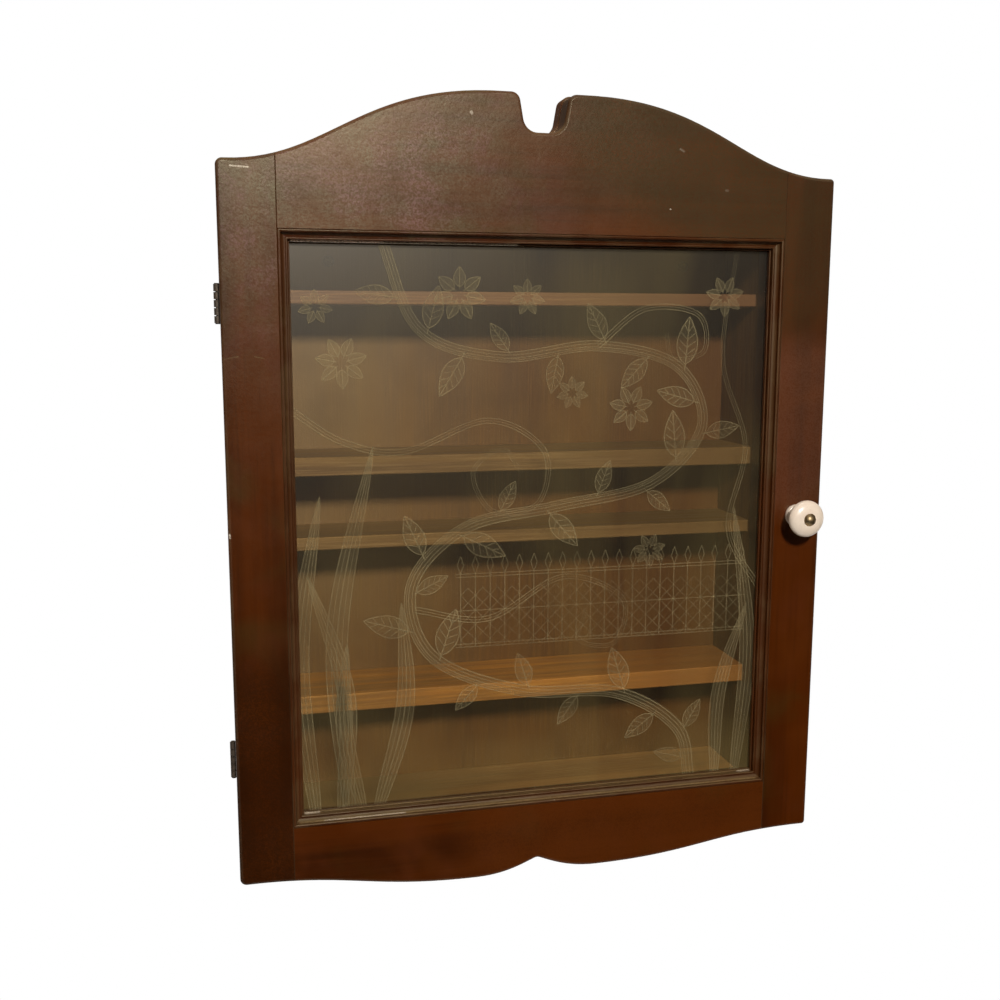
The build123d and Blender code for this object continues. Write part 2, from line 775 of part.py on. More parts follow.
with BuildPart() as knob:
    flange_edge = knob_flange_radius - knob_flange_round
    with BuildSketch(knob_section):
        with BuildLine():
            Line(knob_point(knob_bore_radius, 0), knob_point(flange_edge, 0))
            ThreePointArc(
                knob_point(flange_edge, 0),
                knob_point(knob_flange_radius, knob_flange_height / 2),
                knob_point(flange_edge, knob_flange_height),
            )
            Bezier(
                knob_point(flange_edge, knob_flange_height),
                knob_point(knob_waist_radius, knob_flange_height),
                knob_point(knob_waist_radius, knob_waist_height - knob_waist_pull),
                knob_point(knob_waist_radius, knob_waist_height),
            )
            Bezier(
                knob_point(knob_waist_radius, knob_waist_height),
                knob_point(knob_waist_radius, knob_waist_height + knob_flare_pull),
                knob_point(knob_head_radius, knob_head_height - knob_flare_pull),
                knob_point(knob_head_radius, knob_head_height),
            )
            Bezier(
                knob_point(knob_head_radius, knob_head_height),
                knob_point(knob_head_radius, knob_head_height + knob_crown_pull),
                knob_point(knob_bolt_head_radius + knob_flare_pull, knob_projection),
                knob_point(knob_bolt_head_radius, knob_projection),
            )
            Polyline(
                knob_point(knob_bolt_head_radius, knob_projection),
                knob_point(knob_bore_radius, knob_projection),
                knob_point(knob_bore_radius, 0),
            )
        make_face()
    revolve(axis=knob_axis)
save(knob.part, "knob")

recess_floor = door_back + knob_recess_depth
nut_face = recess_floor - knob_washer_thickness - knob_nut_height
bolt_end = nut_face - knob_bolt_end - door_front
dome_radius = (knob_bolt_head_radius**2 + knob_bolt_head_height**2) / (2 * knob_bolt_head_height)
with BuildPart() as knob_bolt:
    with BuildSketch(knob_section):
        with BuildLine():
            RadiusArc(
                knob_point(knob_bolt_head_radius, knob_projection),
                knob_point(0, knob_projection + knob_bolt_head_height),
                dome_radius,
            )
            Polyline(
                knob_point(0, knob_projection + knob_bolt_head_height),
                knob_point(0, bolt_end),
                knob_point(knob_bolt_radius, bolt_end),
                knob_point(knob_bolt_radius, knob_projection),
                knob_point(knob_bolt_head_radius, knob_projection),
            )
        make_face()
    revolve(axis=knob_axis)
save(knob_bolt.part, "knob_bolt")

with BuildPart() as knob_washer:
    with BuildSketch(outwards(knob_x, knob_height, recess_floor - knob_washer_thickness)):
        Circle(knob_washer_radius)
        Circle(knob_bore_radius, mode=Mode.SUBTRACT)
    extrude(amount=knob_washer_thickness)
save(knob_washer.part, "knob_washer")

with BuildPart() as knob_nut:
    with BuildSketch(outwards(knob_x, knob_height, nut_face)):
        RegularPolygon(knob_nut_size / 2, side_count=6, major_radius=False)
        Circle(knob_bolt_radius, mode=Mode.SUBTRACT)
    extrude(amount=knob_nut_height)
save(knob_nut.part, "knob_nut")

with BuildPart() as knob_hole:
    with BuildSketch(outwards(knob_x, knob_height, door_back)):
        Circle(knob_recess_radius)
    extrude(amount=knob_recess_depth)
    with BuildSketch(outwards(knob_x, knob_height, door_back)):
        Circle(knob_bore_radius)
    extrude(amount=door_thickness)

# Door frame: one blank cut into stiles and rails, with tenons on the rails
with BuildPart() as door_blank:
    extrude(outline(elevation.offset(door_back)), amount=door_thickness)
    door_edges = door_blank.faces().sort_by(Axis.Y)[0].outer_wire().edges()
    fillet(door_edges, radius=min(door_arris_radius, arris_limit))
    with BuildSketch(elevation.offset(door_back)):
        Rectangle(door_opening_width, door_opening_height)
    extrude(amount=door_thickness, mode=Mode.SUBTRACT)
    for side in (-1, 1):
        with BuildSketch(upright(side * stile_inner_edge, 0, door_front)):
            with BuildLine():
                Polyline(
                    (-joint_groove_width / 2, 0),
                    (0, joint_groove_depth),
                    (joint_groove_width / 2, 0),
                    close=True,
                )
            make_face()
        extrude(amount=outline_reach, both=True, mode=Mode.SUBTRACT)

tenon_back = door_back + (door_thickness - tenon_thickness) / 2
tenon_spans = {
    "crest": (door_opening_height / 2 + tenon_opening_shoulder, shoulder_height - tenon_outer_shoulder),
    "bottom": (tenon_outer_shoulder - foot_height, -door_opening_height / 2 - tenon_opening_shoulder),
}


def tenon_block(span, length):
    """A bar as thick and tall as a tenon, reaching a given length into both stiles."""
    with BuildPart() as block:
        with BuildSketch(elevation.offset(tenon_back)):
            with Locations((0, (span[0] + span[1]) / 2)):
                Rectangle(door_opening_width + 2 * length, span[1] - span[0])
        extrude(amount=tenon_thickness)
    return block.part


rail_bounds = {
    "crest": (-stile_inner_edge, stile_inner_edge, outline_reach, 0),
    "bottom": (-stile_inner_edge, stile_inner_edge, 0, -outline_reach),
}
for name, bounds in rail_bounds.items():
    with BuildPart() as door_rail:
        add(frame_member(door_blank.part, *bounds))
        add(tenon_block(tenon_spans[name], tenon_length))
        add(glazing_pins.part, mode=Mode.SUBTRACT)
    save(door_rail.part, f"door_{name}_rail")

stile_bounds = {
    "door_stile_hinge": (-outer_edge, -stile_inner_edge, outline_reach, -outline_reach),
    "door_stile_lock": (stile_inner_edge, outer_edge, outline_reach, -outline_reach),
}
for label, bounds in stile_bounds.items():
    with BuildPart() as door_stile:
        add(frame_member(door_blank.part, *bounds))
        for span in tenon_spans.values():
            add(tenon_block(span, tenon_length + mortise_end_gap), mode=Mode.SUBTRACT)
        add(glazing_pins.part, mode=Mode.SUBTRACT)
        add(hinge_recesses(door_leaf_face), mode=Mode.SUBTRACT)
        add(hinge_door_screws, mode=Mode.SUBTRACT)
        add(catch_plate_blank.part, mode=Mode.SUBTRACT)
        add(catch_screw, mode=Mode.SUBTRACT)
        add(knob_hole.part, mode=Mode.SUBTRACT)
    save(door_stile.part, label)
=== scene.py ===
import math
import random

import bmesh
import bpy
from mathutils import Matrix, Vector


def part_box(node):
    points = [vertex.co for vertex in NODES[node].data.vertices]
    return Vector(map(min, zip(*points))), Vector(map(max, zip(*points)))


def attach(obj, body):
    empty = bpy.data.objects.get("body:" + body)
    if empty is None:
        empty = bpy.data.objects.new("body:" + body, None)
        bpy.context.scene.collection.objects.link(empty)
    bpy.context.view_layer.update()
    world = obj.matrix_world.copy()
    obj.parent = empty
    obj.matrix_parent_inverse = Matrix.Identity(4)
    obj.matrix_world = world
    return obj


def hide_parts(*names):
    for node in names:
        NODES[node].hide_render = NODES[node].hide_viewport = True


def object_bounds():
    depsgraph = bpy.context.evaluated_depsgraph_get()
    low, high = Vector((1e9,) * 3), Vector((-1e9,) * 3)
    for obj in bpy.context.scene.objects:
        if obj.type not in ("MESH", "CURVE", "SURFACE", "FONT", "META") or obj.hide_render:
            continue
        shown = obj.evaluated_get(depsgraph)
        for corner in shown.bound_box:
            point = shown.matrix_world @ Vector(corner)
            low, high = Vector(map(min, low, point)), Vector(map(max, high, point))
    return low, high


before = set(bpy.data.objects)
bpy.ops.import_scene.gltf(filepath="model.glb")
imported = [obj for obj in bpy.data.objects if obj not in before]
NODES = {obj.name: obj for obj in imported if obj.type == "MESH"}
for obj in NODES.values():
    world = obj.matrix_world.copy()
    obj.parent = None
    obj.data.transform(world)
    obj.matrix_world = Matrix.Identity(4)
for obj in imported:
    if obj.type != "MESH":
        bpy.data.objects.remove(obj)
CAD_LOW, CAD_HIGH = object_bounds()
PANE_LOW, PANE_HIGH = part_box("glass_pane")
PANE_MIDDLE = (PANE_LOW + PANE_HIGH) / 2
PANE_FRONT = PANE_LOW.y
DOOR_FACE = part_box("door_stile_hinge")[0].y
CASE_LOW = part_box("case_side_left")[0]
CASE_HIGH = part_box("case_side_right")[1]

bl_info = {
    "name": "Wall Display Cabinet",
    "version": (1, 0, 0),
    "blender": (4, 5, 0),
    "location": "3D View > Sidebar > Cabinet",
    "description": "Finishes a glazed wall cabinet in stained wood, etched glass and porcelain",
    "category": "Object",
}

MM = 0.001
WHITE = (1, 1, 1)

# Middle of the painted sheen (a painted highlight), in millimetres from the middle of the glass.
PAINTED_SHEEN_MIDDLE = (-150, 275)
# How far the moulding's innermost bead and its cove stand out of the pane, in millimetres.
BEAD_RISE = 3.0
COVE_RISE = 8.0
# How far in front of the pane each etched layer lies, in millimetres.
LAYERS = {
    "etched_lattice": 0.008,
    "etched_pickets": 0.012,
    "etched_rails": 0.016,
    "etched_vine_stem": 0.02,
    "etched_reed_lines": 0.022,
    "etched_tendrils": 0.024,
    "etched_vine_band": 0.03,
    "etched_reed_blades": 0.034,
    "etched_vine_leaves": 0.04,
    "etched_vine_blades": 0.05,
    "etched_petal_lines": 0.054,
    "etched_petal_fills": 0.058,
}

# Which way the grain runs in each stained piece of the door and the face frame.
UPRIGHT_STAINED = (
    "door_stile_hinge", "door_stile_lock", "face_frame_stile_left", "face_frame_stile_right",
    "glass_moulding_left", "glass_moulding_right", "glass_bead_left", "glass_bead_right",
)
LEVEL_STAINED = (
    "door_crest_rail", "door_bottom_rail", "face_frame_crest_rail", "face_frame_bottom_rail",
    "glass_moulding_top", "glass_moulding_bottom", "glass_bead_top", "glass_bead_bottom",
)


def paint(red, green, blue):
    """An 8-bit display colour as linear red, green and blue."""
    def linear(value):
        value /= 255
        return value / 12.92 if value <= 0.04045 else ((value + 0.055) / 1.055) ** 2.4
    return linear(red), linear(green), linear(blue)


def on_door(x, z):
    """A point on the door's face, from millimetres measured from the middle of the glass."""
    return (x * MM, DOOR_FACE, PANE_MIDDLE.z + z * MM)


def on_bead(x, z):
    """A point on the moulding's innermost bead, measured like on_door."""
    return (x * MM, PANE_FRONT - BEAD_RISE * MM, PANE_MIDDLE.z + z * MM)


def on_cove(x, z):
    """A point on the moulding's cove, measured like on_door."""
    return (x * MM, PANE_FRONT - COVE_RISE * MM, PANE_MIDDLE.z + z * MM)


def on_pane(layer, x, z):
    """A point in an etched layer, measured like on_door."""
    depth = PANE_FRONT - LAYERS[layer] * MM
    return (PANE_MIDDLE.x + x * MM, depth, PANE_MIDDLE.z + z * MM)


# Node trees


class Tree:
    """Adds nodes to one node tree and joins them."""

    def __init__(self, tree):
        self.nodes = tree.nodes
        self.links = tree.links

    def add(self, kind, values=None, **settings):
        node = self.nodes.new(kind)
        for name, value in settings.items():
            setattr(node, name, value)
        for key, value in (values or {}).items():
            self.feed(node.inputs[key], value)
        return node

    def feed(self, socket, value):
        """Links a socket to a node or socket, or gives it a value; a colour has three parts."""
        if isinstance(value, bpy.types.Node):
            value = value.outputs[0]
        if isinstance(value, bpy.types.NodeSocket):
            self.links.new(value, socket)
        else:
            socket.default_value = (*value, 1.0) if socket.type == "RGBA" else value

    def maths(self, operation, first, second=0.0, clamp=False):
        return self.add("ShaderNodeMath", {0: first, 1: second},
                        operation=operation, use_clamp=clamp).outputs[0]

    def times(self, first, second):
        return self.maths("MULTIPLY", first, second)

    def plus(self, first, second):
        return self.maths("ADD", first, second)

    def vector(self, operation, first, second=(0, 0, 0)):
        return self.add("ShaderNodeVectorMath", {0: first, 1: second}, operation=operation)

    def distance(self, first, second):
        return self.vector("DISTANCE", first, second).outputs["Value"]

    def axes(self, vector):
        return self.add("ShaderNodeSeparateXYZ", {0: vector}).outputs

    def stretch(self, vector, scale, shift=(0, 0, 0)):
        return self.add("ShaderNodeMapping",
                        {"Vector": vector, "Scale": scale, "Location": shift}).outputs[0]

    def noise(self, vector, scale=1.0, detail=3.0, roughness=0.5, distortion=0.0):
        return self.add("ShaderNodeTexNoise", {
            "Vector": vector, "Scale": scale, "Detail": detail,
            "Roughness": roughness, "Distortion": distortion,
        }).outputs[0]

    def span(self, value, low, high, to_low=0.0, to_high=1.0):
        return self.add("ShaderNodeMapRange", {
            0: value, 1: low, 2: high, 3: to_low, 4: to_high,
        }, interpolation_type="SMOOTHSTEP").outputs[0]

    def tint(self, factor, under, over):
        """Mixes two colours."""
        return self.add("ShaderNodeMix", {0: factor, 6: under, 7: over},
                        data_type="RGBA", clamp_factor=True).outputs[2]

    def lay(self, under, over, value, low, high, share=1.0):
        """Lays a colour over another by a value: none of it at low and its share at high."""
        return self.tint(self.span(value, low, high, 0, share), under, over)

    def blend(self, factor, first, second):
        """Mixes two shaders."""
        return self.add("ShaderNodeMixShader", {0: factor, 1: first, 2: second})

    def bump(self, height, depth, strength=1.0, under=None):
        values = {"Height": height, "Distance": depth, "Strength": strength}
        if under is not None:
            values["Normal"] = under
        return self.add("ShaderNodeBump", values).outputs[0]

    def named(self, name, kind="FLOAT"):
        """A named value of each point."""
        return self.add("GeometryNodeInputNamedAttribute", {"Name": name},
                        data_type=kind).outputs[0]

    def stroke(self, point, start, end, half_width):
        """1 on a scratch from start to end, fading to 0 at half_width from it."""
        start, end = Vector(start), Vector(end)
        run = end - start
        offset = self.vector("SUBTRACT", point, start)
        along = self.vector("DOT_PRODUCT", offset, run / run.length_squared).outputs["Value"]
        along = self.maths("MULTIPLY", along, 1.0, clamp=True)
        nearest = self.add("ShaderNodeVectorMath", {0: run, "Scale": along}, operation="SCALE")
        return self.span(self.distance(offset, nearest), half_width * 0.35, half_width, 1.0, 0.0)


def material(name):
    """A new material with an empty node tree, its tree helper and its object coordinates."""
    made = bpy.data.materials.new(name)
    made.use_nodes = True
    made.node_tree.nodes.clear()
    tree = Tree(made.node_tree)
    return made, tree, tree.add("ShaderNodeTexCoord").outputs["Object"]


def finish_surface(tree, shader):
    tree.add("ShaderNodeOutputMaterial", {"Surface": shader})


def principled(tree, values):
    finish_surface(tree, tree.add("ShaderNodeBsdfPrincipled", values))


def dress(name, made):
    """Gives a CAD node a material on each of its slots."""
    node = NODES[name]
    for slot in node.material_slots:
        slot.material = made
    if not node.material_slots:
        node.data.materials.append(made)


# Woods

# Every scale of noise below is in waves per metre.


def grain(tree, place, along, lengthways, across, shift=(0, 0, 0), **settings):
    """Noise drawn out along the grain."""
    scale = tuple(lengthways if axis == along else across for axis in "XYZ")
    return tree.noise(tree.stretch(place, scale, shift), **settings)


def stain_colour(tree, stain, streaks, clouds, blotch, fibres, figure):
    """The stain's own colour, from its streaks to its open pores."""
    colour = tree.lay(stain.dark, stain.middle, streaks, 0.32, 0.68, figure)
    for over, value, low, high, share in (
        (stain.light, clouds, 0.45, 0.75, 0.55), (stain.olive, clouds, 0.46, 0.26, 0.6),
        (stain.red, blotch, 0.5, 0.72, 0.25), (stain.light, fibres, 0.5, 0.75, 0.2),
        (stain.pore_and_painted_shade, fibres, 0.45, 0.25, 0.25),
    ):
        colour = tree.lay(colour, over, value, low, high, share * figure)
    return colour


def painted_sheen(tree, place, colour, stain, front, blotch, share):
    """Paints the varnish's mottled sheen into a colour: a painted highlight in small khaki and pink
    marks that fade from the top left.
    """
    away = tree.distance(place, on_door(*PAINTED_SHEEN_MIDDLE))
    cover = tree.times(tree.span(away, 0.04, 0.21, share, 0.0),
                       tree.span(front, -0.99, -0.85, 1.0, 0.0))
    worms = tree.span(tree.noise(place, 1000 / stain.painted_sheen_size, 2, 0.6), 0.36, 0.68, -0.5, 0.5)
    worms = tree.plus(tree.times(worms, tree.span(away, 0.07, 0.19, 1.0, 0.1)), 0.5)
    pinks = tree.noise(place, 27, detail=4, roughness=0.6, distortion=0.6)
    painted_sheen_colour = tree.lay(stain.painted_sheen_khaki, stain.painted_sheen_pink, pinks, 0.43, 0.57)
    patchy = tree.times(cover, tree.span(blotch, 0.3, 0.65, 0.35, 1.0))
    return tree.tint(tree.times(worms, patchy), colour, painted_sheen_colour)


def draw_scratches_and_painted_light(tree, place, colour, marks):
    """Draws scratches, nicks, broad tints, painted shade and painted highlights over a colour, each
    broken up along its length.
    """
    for start, end, half_width, share, mark_colour in marks:
        line = tree.stroke(place, start, end, half_width)
        broken = tree.span(tree.noise(place, 900), 0.3, 0.6, 0.3 * share, share)
        colour = tree.tint(tree.times(line, broken), colour, mark_colour)
    return colour


def stained_wood(name, along, stain, seed, marks=(), wear=1.0, narrow=False, gloss=1.0,
                 painted_sheen_share=0.0):
    """Dark varnished wood: faint grain, pebbled varnish, dusty ledges, worn arrises, painted sheen.
    """
    made, tree, place = material(name)
    shift = (seed * 1.7, seed * 0.9, seed * 2.3)
    figure = 0.5 if narrow else 1.0
    streaks = grain(tree, place, along, 2.5, 40, shift, detail=4)
    fibres = grain(tree, place, along, 12, 420, shift, detail=2)
    clouds = tree.noise(tree.stretch(place, (1, 1, 1), shift), 14, detail=3, distortion=0.6)
    blotch = tree.noise(place, 34, detail=3, roughness=0.55)
    pebble = tree.noise(place, 1000 / stain.pebble_size, detail=1, roughness=0.5)
    coarse = tree.noise(place, 420 / stain.pebble_size, detail=2, distortion=0.3)

    normal = tree.axes(place.node.outputs["Normal"])
    facing = tree.maths("ABSOLUTE", normal[1])
    colour = stain_colour(tree, stain, streaks, clouds, blotch, fibres, figure)
    # Painted sheen: khaki and pink marks in the colour that stand for the varnish's mottled
    # reflection at the top left.
    colour = painted_sheen(tree, place, colour, stain, normal[1], blotch, painted_sheen_share)
    arris = tree.times(tree.span(facing, 0.1, 0.45), tree.span(facing, 0.999, 0.93))
    rubbed = tree.times(arris, tree.span(blotch, 0.42, 0.62, 0.25 * wear, 1.0))
    worn = stain.moulding_wear if narrow else stain.arris_wear
    colour = tree.tint(tree.times(rubbed, worn), colour, stain.worn)
    settled = grain(tree, place, along, *((70, 1100) if narrow else (40, 160)), detail=3)
    ledge = tree.times(tree.span(normal[2], 0.15, 0.75), tree.span(settled, 0.38, 0.6, 0.1, 1.0))
    colour = tree.tint(tree.times(ledge, stain.ledge_dust * wear), colour, stain.dust)
    colour = draw_scratches_and_painted_light(tree, place, colour, marks)

    surface = tree.bump(pebble, stain.pebble_depth * MM)
    surface = tree.bump(coarse, stain.pebble_depth * 1.6 * MM, 1.0, surface)
    surface = tree.bump(fibres, stain.grain_depth * MM, 1.0, surface)
    rough = tree.span(blotch, 0.3, 0.7, stain.roughness - 0.012, stain.roughness + 0.012)
    rough = tree.plus(rough, tree.span(pebble, 0.3, 0.7, -stain.mottle, stain.mottle))
    rough = tree.plus(rough, tree.times(ledge, 0.26 * wear))
    bend = tree.times(tree.span(facing, 0.1, 0.45), tree.span(facing, 0.9995, 0.98))
    rough = tree.plus(rough, tree.times(bend, 0.16 if narrow else 0.36))
    principled(tree, {
        "Base Color": colour, "Roughness": rough, "Normal": surface,
        "Specular IOR Level": stain.gloss * gloss, "Specular Tint": stain.sheen,
    })
    return made


# How deep the stain of the case's outer faces goes, in metres.
SKIN = 0.4 * MM


def plain_board(name, along, tones, seed, streak_width=18.0, outside=None, painted_light_and_shade=0.0,
                dulled=0.0, shaded=0.0):
    """Dry unvarnished board: dark, middle and light tones along the grain, with stains.
    A stain given as outside covers the case's outer faces; the share of painted light and shade
    lightens the upper left and darkens the right, dulled covers it with dust and shaded paints
    shade over the right."""
    made, tree, place = material(name)
    shift = (seed * 1.3, seed * 2.1, seed * 0.7)
    rings = grain(tree, place, along, 1.6, 1000 / streak_width, shift, detail=5, distortion=0.4)
    fibres = grain(tree, place, along, 18, 700, shift, detail=3)
    stains = tree.noise(place, 9, detail=4, roughness=0.6, distortion=0.8)
    colour = tree.lay(tones[0], tones[1], rings, 0.34, 0.66)
    colour = tree.lay(colour, tones[2], fibres, 0.42, 0.7, 0.5)
    colour = tree.lay(colour, tones[0], stains, 0.42, 0.72, 0.45)
    rough = tree.span(rings, 0.3, 0.7, 0.55, 0.72)
    x, _, z = tree.axes(place)
    # Painted light over the back board's upper left and painted shade towards its right.
    if painted_light_and_shade:
        left = tree.span(x, 0.08, CAD_LOW.x, 0, painted_light_and_shade)
        high = tree.span(z, PANE_LOW.z, PANE_MIDDLE.z + 0.05, 0.3, 1.0)
        colour = tree.tint(tree.times(left, high), colour, tones[3])
        colour = tree.lay(colour, tones[0], x, 0.02, CASE_HIGH.x, 0.6)
    if shaded:
        colour = tree.lay(colour, tones[0], x, 0.0, 0.14, shaded)
    if dulled:
        colour = tree.lay(colour, tones[3], x, 0.06, CASE_LOW.x + 0.06, dulled)
    if outside is not None:
        skin = tree.maths("GREATER_THAN", tree.maths("ABSOLUTE", x), CASE_HIGH.x - SKIN)
        for edge, way in ((CASE_HIGH.z - SKIN, "GREATER_THAN"), (CASE_LOW.z + SKIN, "LESS_THAN")):
            skin = tree.maths("MAXIMUM", skin, tree.maths(way, z, edge))
        stained = tree.lay(outside.dark, outside.middle, rings, 0.34, 0.66)
        stained = tree.lay(stained, outside.light, fibres, 0.5, 0.75, 0.3)
        colour = tree.tint(skin, colour, stained)
        rough = tree.times(rough, tree.span(skin, 0, 1, 1.0, 0.6))
    height = tree.bump(fibres, 0.12 * MM)
    principled(tree, {
        "Base Color": colour, "Roughness": rough, "Normal": height, "Specular IOR Level": 0.25,
    })
    return made


# Glass


def old_glass(name, settings):
    """A thin pane that lets light through, with a fine haze and a film of dust."""
    made, tree, place = material(name)
    wiped = tree.noise(tree.stretch(place, (6, 6, 2.2)), 1.0, detail=4, distortion=1.4)
    speckle = tree.noise(place, 420, detail=2)
    clear = tree.add("ShaderNodeBsdfTransparent", {"Color": settings.tint})
    edge = tree.add("ShaderNodeLayerWeight", {"Blend": 0.12}).outputs["Fresnel"]
    shine = tree.add("ShaderNodeBsdfAnisotropic", {
        "Color": WHITE, "Roughness": settings.shine_roughness,
    })
    haze = tree.add("ShaderNodeBsdfAnisotropic", {
        "Color": settings.haze_colour, "Roughness": settings.haze_roughness,
    })
    dust = tree.add("ShaderNodeBsdfDiffuse", {"Color": settings.dust_colour})
    share = tree.span(wiped, 0.36, 0.66, 0.0, settings.dust_share * 2.6)
    share = tree.plus(share, tree.span(speckle, 0.6, 0.8, 0, 0.02))
    settled = tree.span(tree.axes(place)[2], PANE_LOW.z + 0.09, PANE_LOW.z, 0,
                        settings.settled_share)
    drift = tree.noise(tree.stretch(place, (9, 9, 22)), 1.0, detail=3, distortion=1.0)
    share = tree.plus(share, tree.times(settled, tree.span(drift, 0.3, 0.65, 0.3, 1.0)))
    body = tree.blend(settings.haze_share, clear, haze)
    body = tree.blend(tree.span(edge, 0, 1, 0, settings.shine_share), body, shine)
    finish_surface(tree, tree.blend(share, body, dust))
    return made


def etched(name, settings, share):
    """The frosted skin of an etched line or patch on the pane."""
    made, tree, place = material(name)
    grit = tree.noise(place, 900, detail=2)
    cloud = tree.noise(place, 26, detail=3)
    frost = tree.add("ShaderNodeBsdfDiffuse", {"Color": settings.frost_colour})
    clear = tree.add("ShaderNodeBsdfTransparent", {"Color": WHITE})
    cover = tree.times(tree.span(grit, 0.3, 0.7, share * 0.75, share * 1.25),
                       tree.span(cloud, 0.3, 0.7, 0.7, 1.3))
    finish_surface(tree, tree.blend(cover, clear, frost))
    return made


# Metals and porcelain


def porcelain(name, settings):
    """Cream glazed porcelain with fine crazing and faint iron specks."""
    made, tree, place = material(name)
    cloud = tree.noise(place, 60, detail=3)
    cracks = tree.add("ShaderNodeTexVoronoi", {"Vector": place, "Scale": 520.0},
                      feature="DISTANCE_TO_EDGE").outputs["Distance"]
    specks = tree.noise(place, 1500, detail=1)
    colour = tree.lay(settings.porcelain, settings.porcelain_shade, cloud, 0.3, 0.7)
    colour = tree.lay(colour, settings.craze, cracks, 0.03, 0.0, 0.14)
    colour = tree.lay(colour, settings.craze, specks, 0.72, 0.8, 0.3)
    waves = tree.bump(tree.noise(place, 140, detail=1), 0.12 * MM, 0.5)
    rough = tree.span(cloud, 0.3, 0.7, 0.29, 0.36)
    principled(tree, {
        "Base Color": colour, "Roughness": rough, "Normal": waves, "Specular IOR Level": 0.5,
        "Coat Weight": 0.2, "Coat Roughness": 0.2,
    })
    return made


def aged_metal(name, bright, dull, spots, roughness, metallic=1.0):
    """Metal with a bright and a dulled tone, spots of tarnish and fine scuffs."""
    made, tree, place = material(name)
    patches = tree.noise(place, 240, detail=4, roughness=0.6)
    scuffs = tree.noise(tree.stretch(place, (300, 2600, 300)), 1.0, detail=2)
    pits = tree.noise(place, 1300, detail=2)
    colour = tree.lay(bright, dull, patches, 0.35, 0.65, 0.6)
    colour = tree.lay(colour, spots, pits, 0.6, 0.72, 0.7)
    rough = tree.span(patches, 0.3, 0.7, roughness, roughness + 0.2)
    rough = tree.plus(rough, tree.span(scuffs, 0.5, 0.7, 0, 0.08))
    height = tree.bump(pits, 0.03 * MM)
    principled(tree, {
        "Base Color": colour, "Roughness": rough, "Normal": height, "Metallic": metallic,
    })
    return made


def bronze(name, hardware, roughness, metallic=1.0):
    return aged_metal(name, hardware.hinge, hardware.hinge_dull, hardware.rust, roughness,
                      metallic)


# Meshes and Geometry Nodes


def add_object(name, data):
    made = bpy.data.objects.new(name, data)
    bpy.context.scene.collection.objects.link(made)
    return made


def new_mesh(name, vertices, faces, edges=()):
    mesh = bpy.data.meshes.new(name)
    mesh.from_pydata([tuple(v) for v in vertices], edges, faces)
    mesh.update()
    return add_object(name, mesh)


def point_values(base, label, kind, values):
    """Writes a named value on each point of an object's mesh."""
    attribute = base.data.attributes.new(label, kind, "POINT")
    for item, value in zip(attribute.data, values):
        setattr(item, "value" if kind == "FLOAT" else "vector", value)


def node_group(name, sizes):
    """An empty Geometry Nodes group with a named input for each size, and its tree helper."""
    group = bpy.data.node_groups.new(name, "GeometryNodeTree")
    group.interface.new_socket("Geometry", in_out="INPUT", socket_type="NodeSocketGeometry")
    for size in sizes:
        group.interface.new_socket(size, in_out="INPUT", socket_type="NodeSocketFloat")
    group.interface.new_socket("Geometry", in_out="OUTPUT", socket_type="NodeSocketGeometry")
    tree = Tree(group)
    return group, tree, tree.add("NodeGroupInput").outputs


def grow(base, group, tree, geometry, finish, sizes):
    """Ends a group in real geometry of one material and leaves what it makes as a plain mesh."""
    real = tree.add("GeometryNodeRealizeInstances", {"Geometry": geometry})
    coloured = tree.add("GeometryNodeSetMaterial", {"Geometry": real, "Material": finish})
    tree.add("NodeGroupOutput", {0: coloured})
    modifier = base.modifiers.new("Grow", "NODES")
    modifier.node_group = group
    sockets = {item.name: item.identifier for item in group.interface.items_tree
               if item.in_out == "INPUT"}
    for name, value in sizes.items():
        modifier[sockets[name]] = value
    return plain(base)


def repeat(name, shape, points, turns, sizes, finish):
    """Sets a shape on each point, turned and sized, as one plain mesh object, and removes the
    shape."""
    base = new_mesh(name, points, [])
    point_values(base, "turn", "FLOAT_VECTOR", turns)
    point_values(base, "size", "FLOAT", sizes)
    group, tree, given = node_group(name + "_repeat", ("Size",))
    pattern = tree.add("GeometryNodeObjectInfo", {"Object": shape})
    each = tree.times(tree.named("size"), given["Size"])
    placed = tree.add("GeometryNodeInstanceOnPoints", {
        "Points": given["Geometry"], "Instance": pattern.outputs["Geometry"],
        "Rotation": tree.named("turn", "FLOAT_VECTOR"),
        "Scale": tree.add("ShaderNodeCombineXYZ", {0: each, 1: each, 2: each}),
    })
    grow(base, group, tree, placed, finish, {"Size": 1.0})
    bpy.data.objects.remove(shape)
    return base


def widen(name, points, steps, widths, finish):
    """Widens lines into flat strips that face out of the door, as one plain mesh object."""
    base = new_mesh(name, points, [], steps)
    point_values(base, "width", "FLOAT", widths)
    group, tree, given = node_group(name + "_widen", ("Width",))
    lines = tree.add("GeometryNodeMeshToCurve", {"Mesh": given["Geometry"]})
    lines = tree.add("GeometryNodeSetCurveNormal", {"Curve": lines, "Normal": (0, -1, 0)},
                     mode="FREE")
    across = tree.add("GeometryNodeCurvePrimitiveLine", {"Start": (0, -0.5, 0), "End": (0, 0.5, 0)})
    strips = tree.add("GeometryNodeCurveToMesh", {
        "Curve": lines, "Profile Curve": across,
        "Scale": tree.times(tree.named("width"), given["Width"]),
    })
    return grow(base, group, tree, strips, finish, {"Width": 1.0})


def plain(base):
    """Turns what an object's modifiers make into its own mesh."""
    bpy.context.view_layer.update()
    graph = bpy.context.evaluated_depsgraph_get()
    mesh = bpy.data.meshes.new_from_object(base.evaluated_get(graph))
    base.modifiers.clear()
    base.data = mesh
    return base


def directions(line):
    """The direction at each point of a line."""
    last = len(line) - 1
    return [(line[min(i + 1, last)] - line[max(i - 1, 0)]).normalized() for i in range(last + 1)]


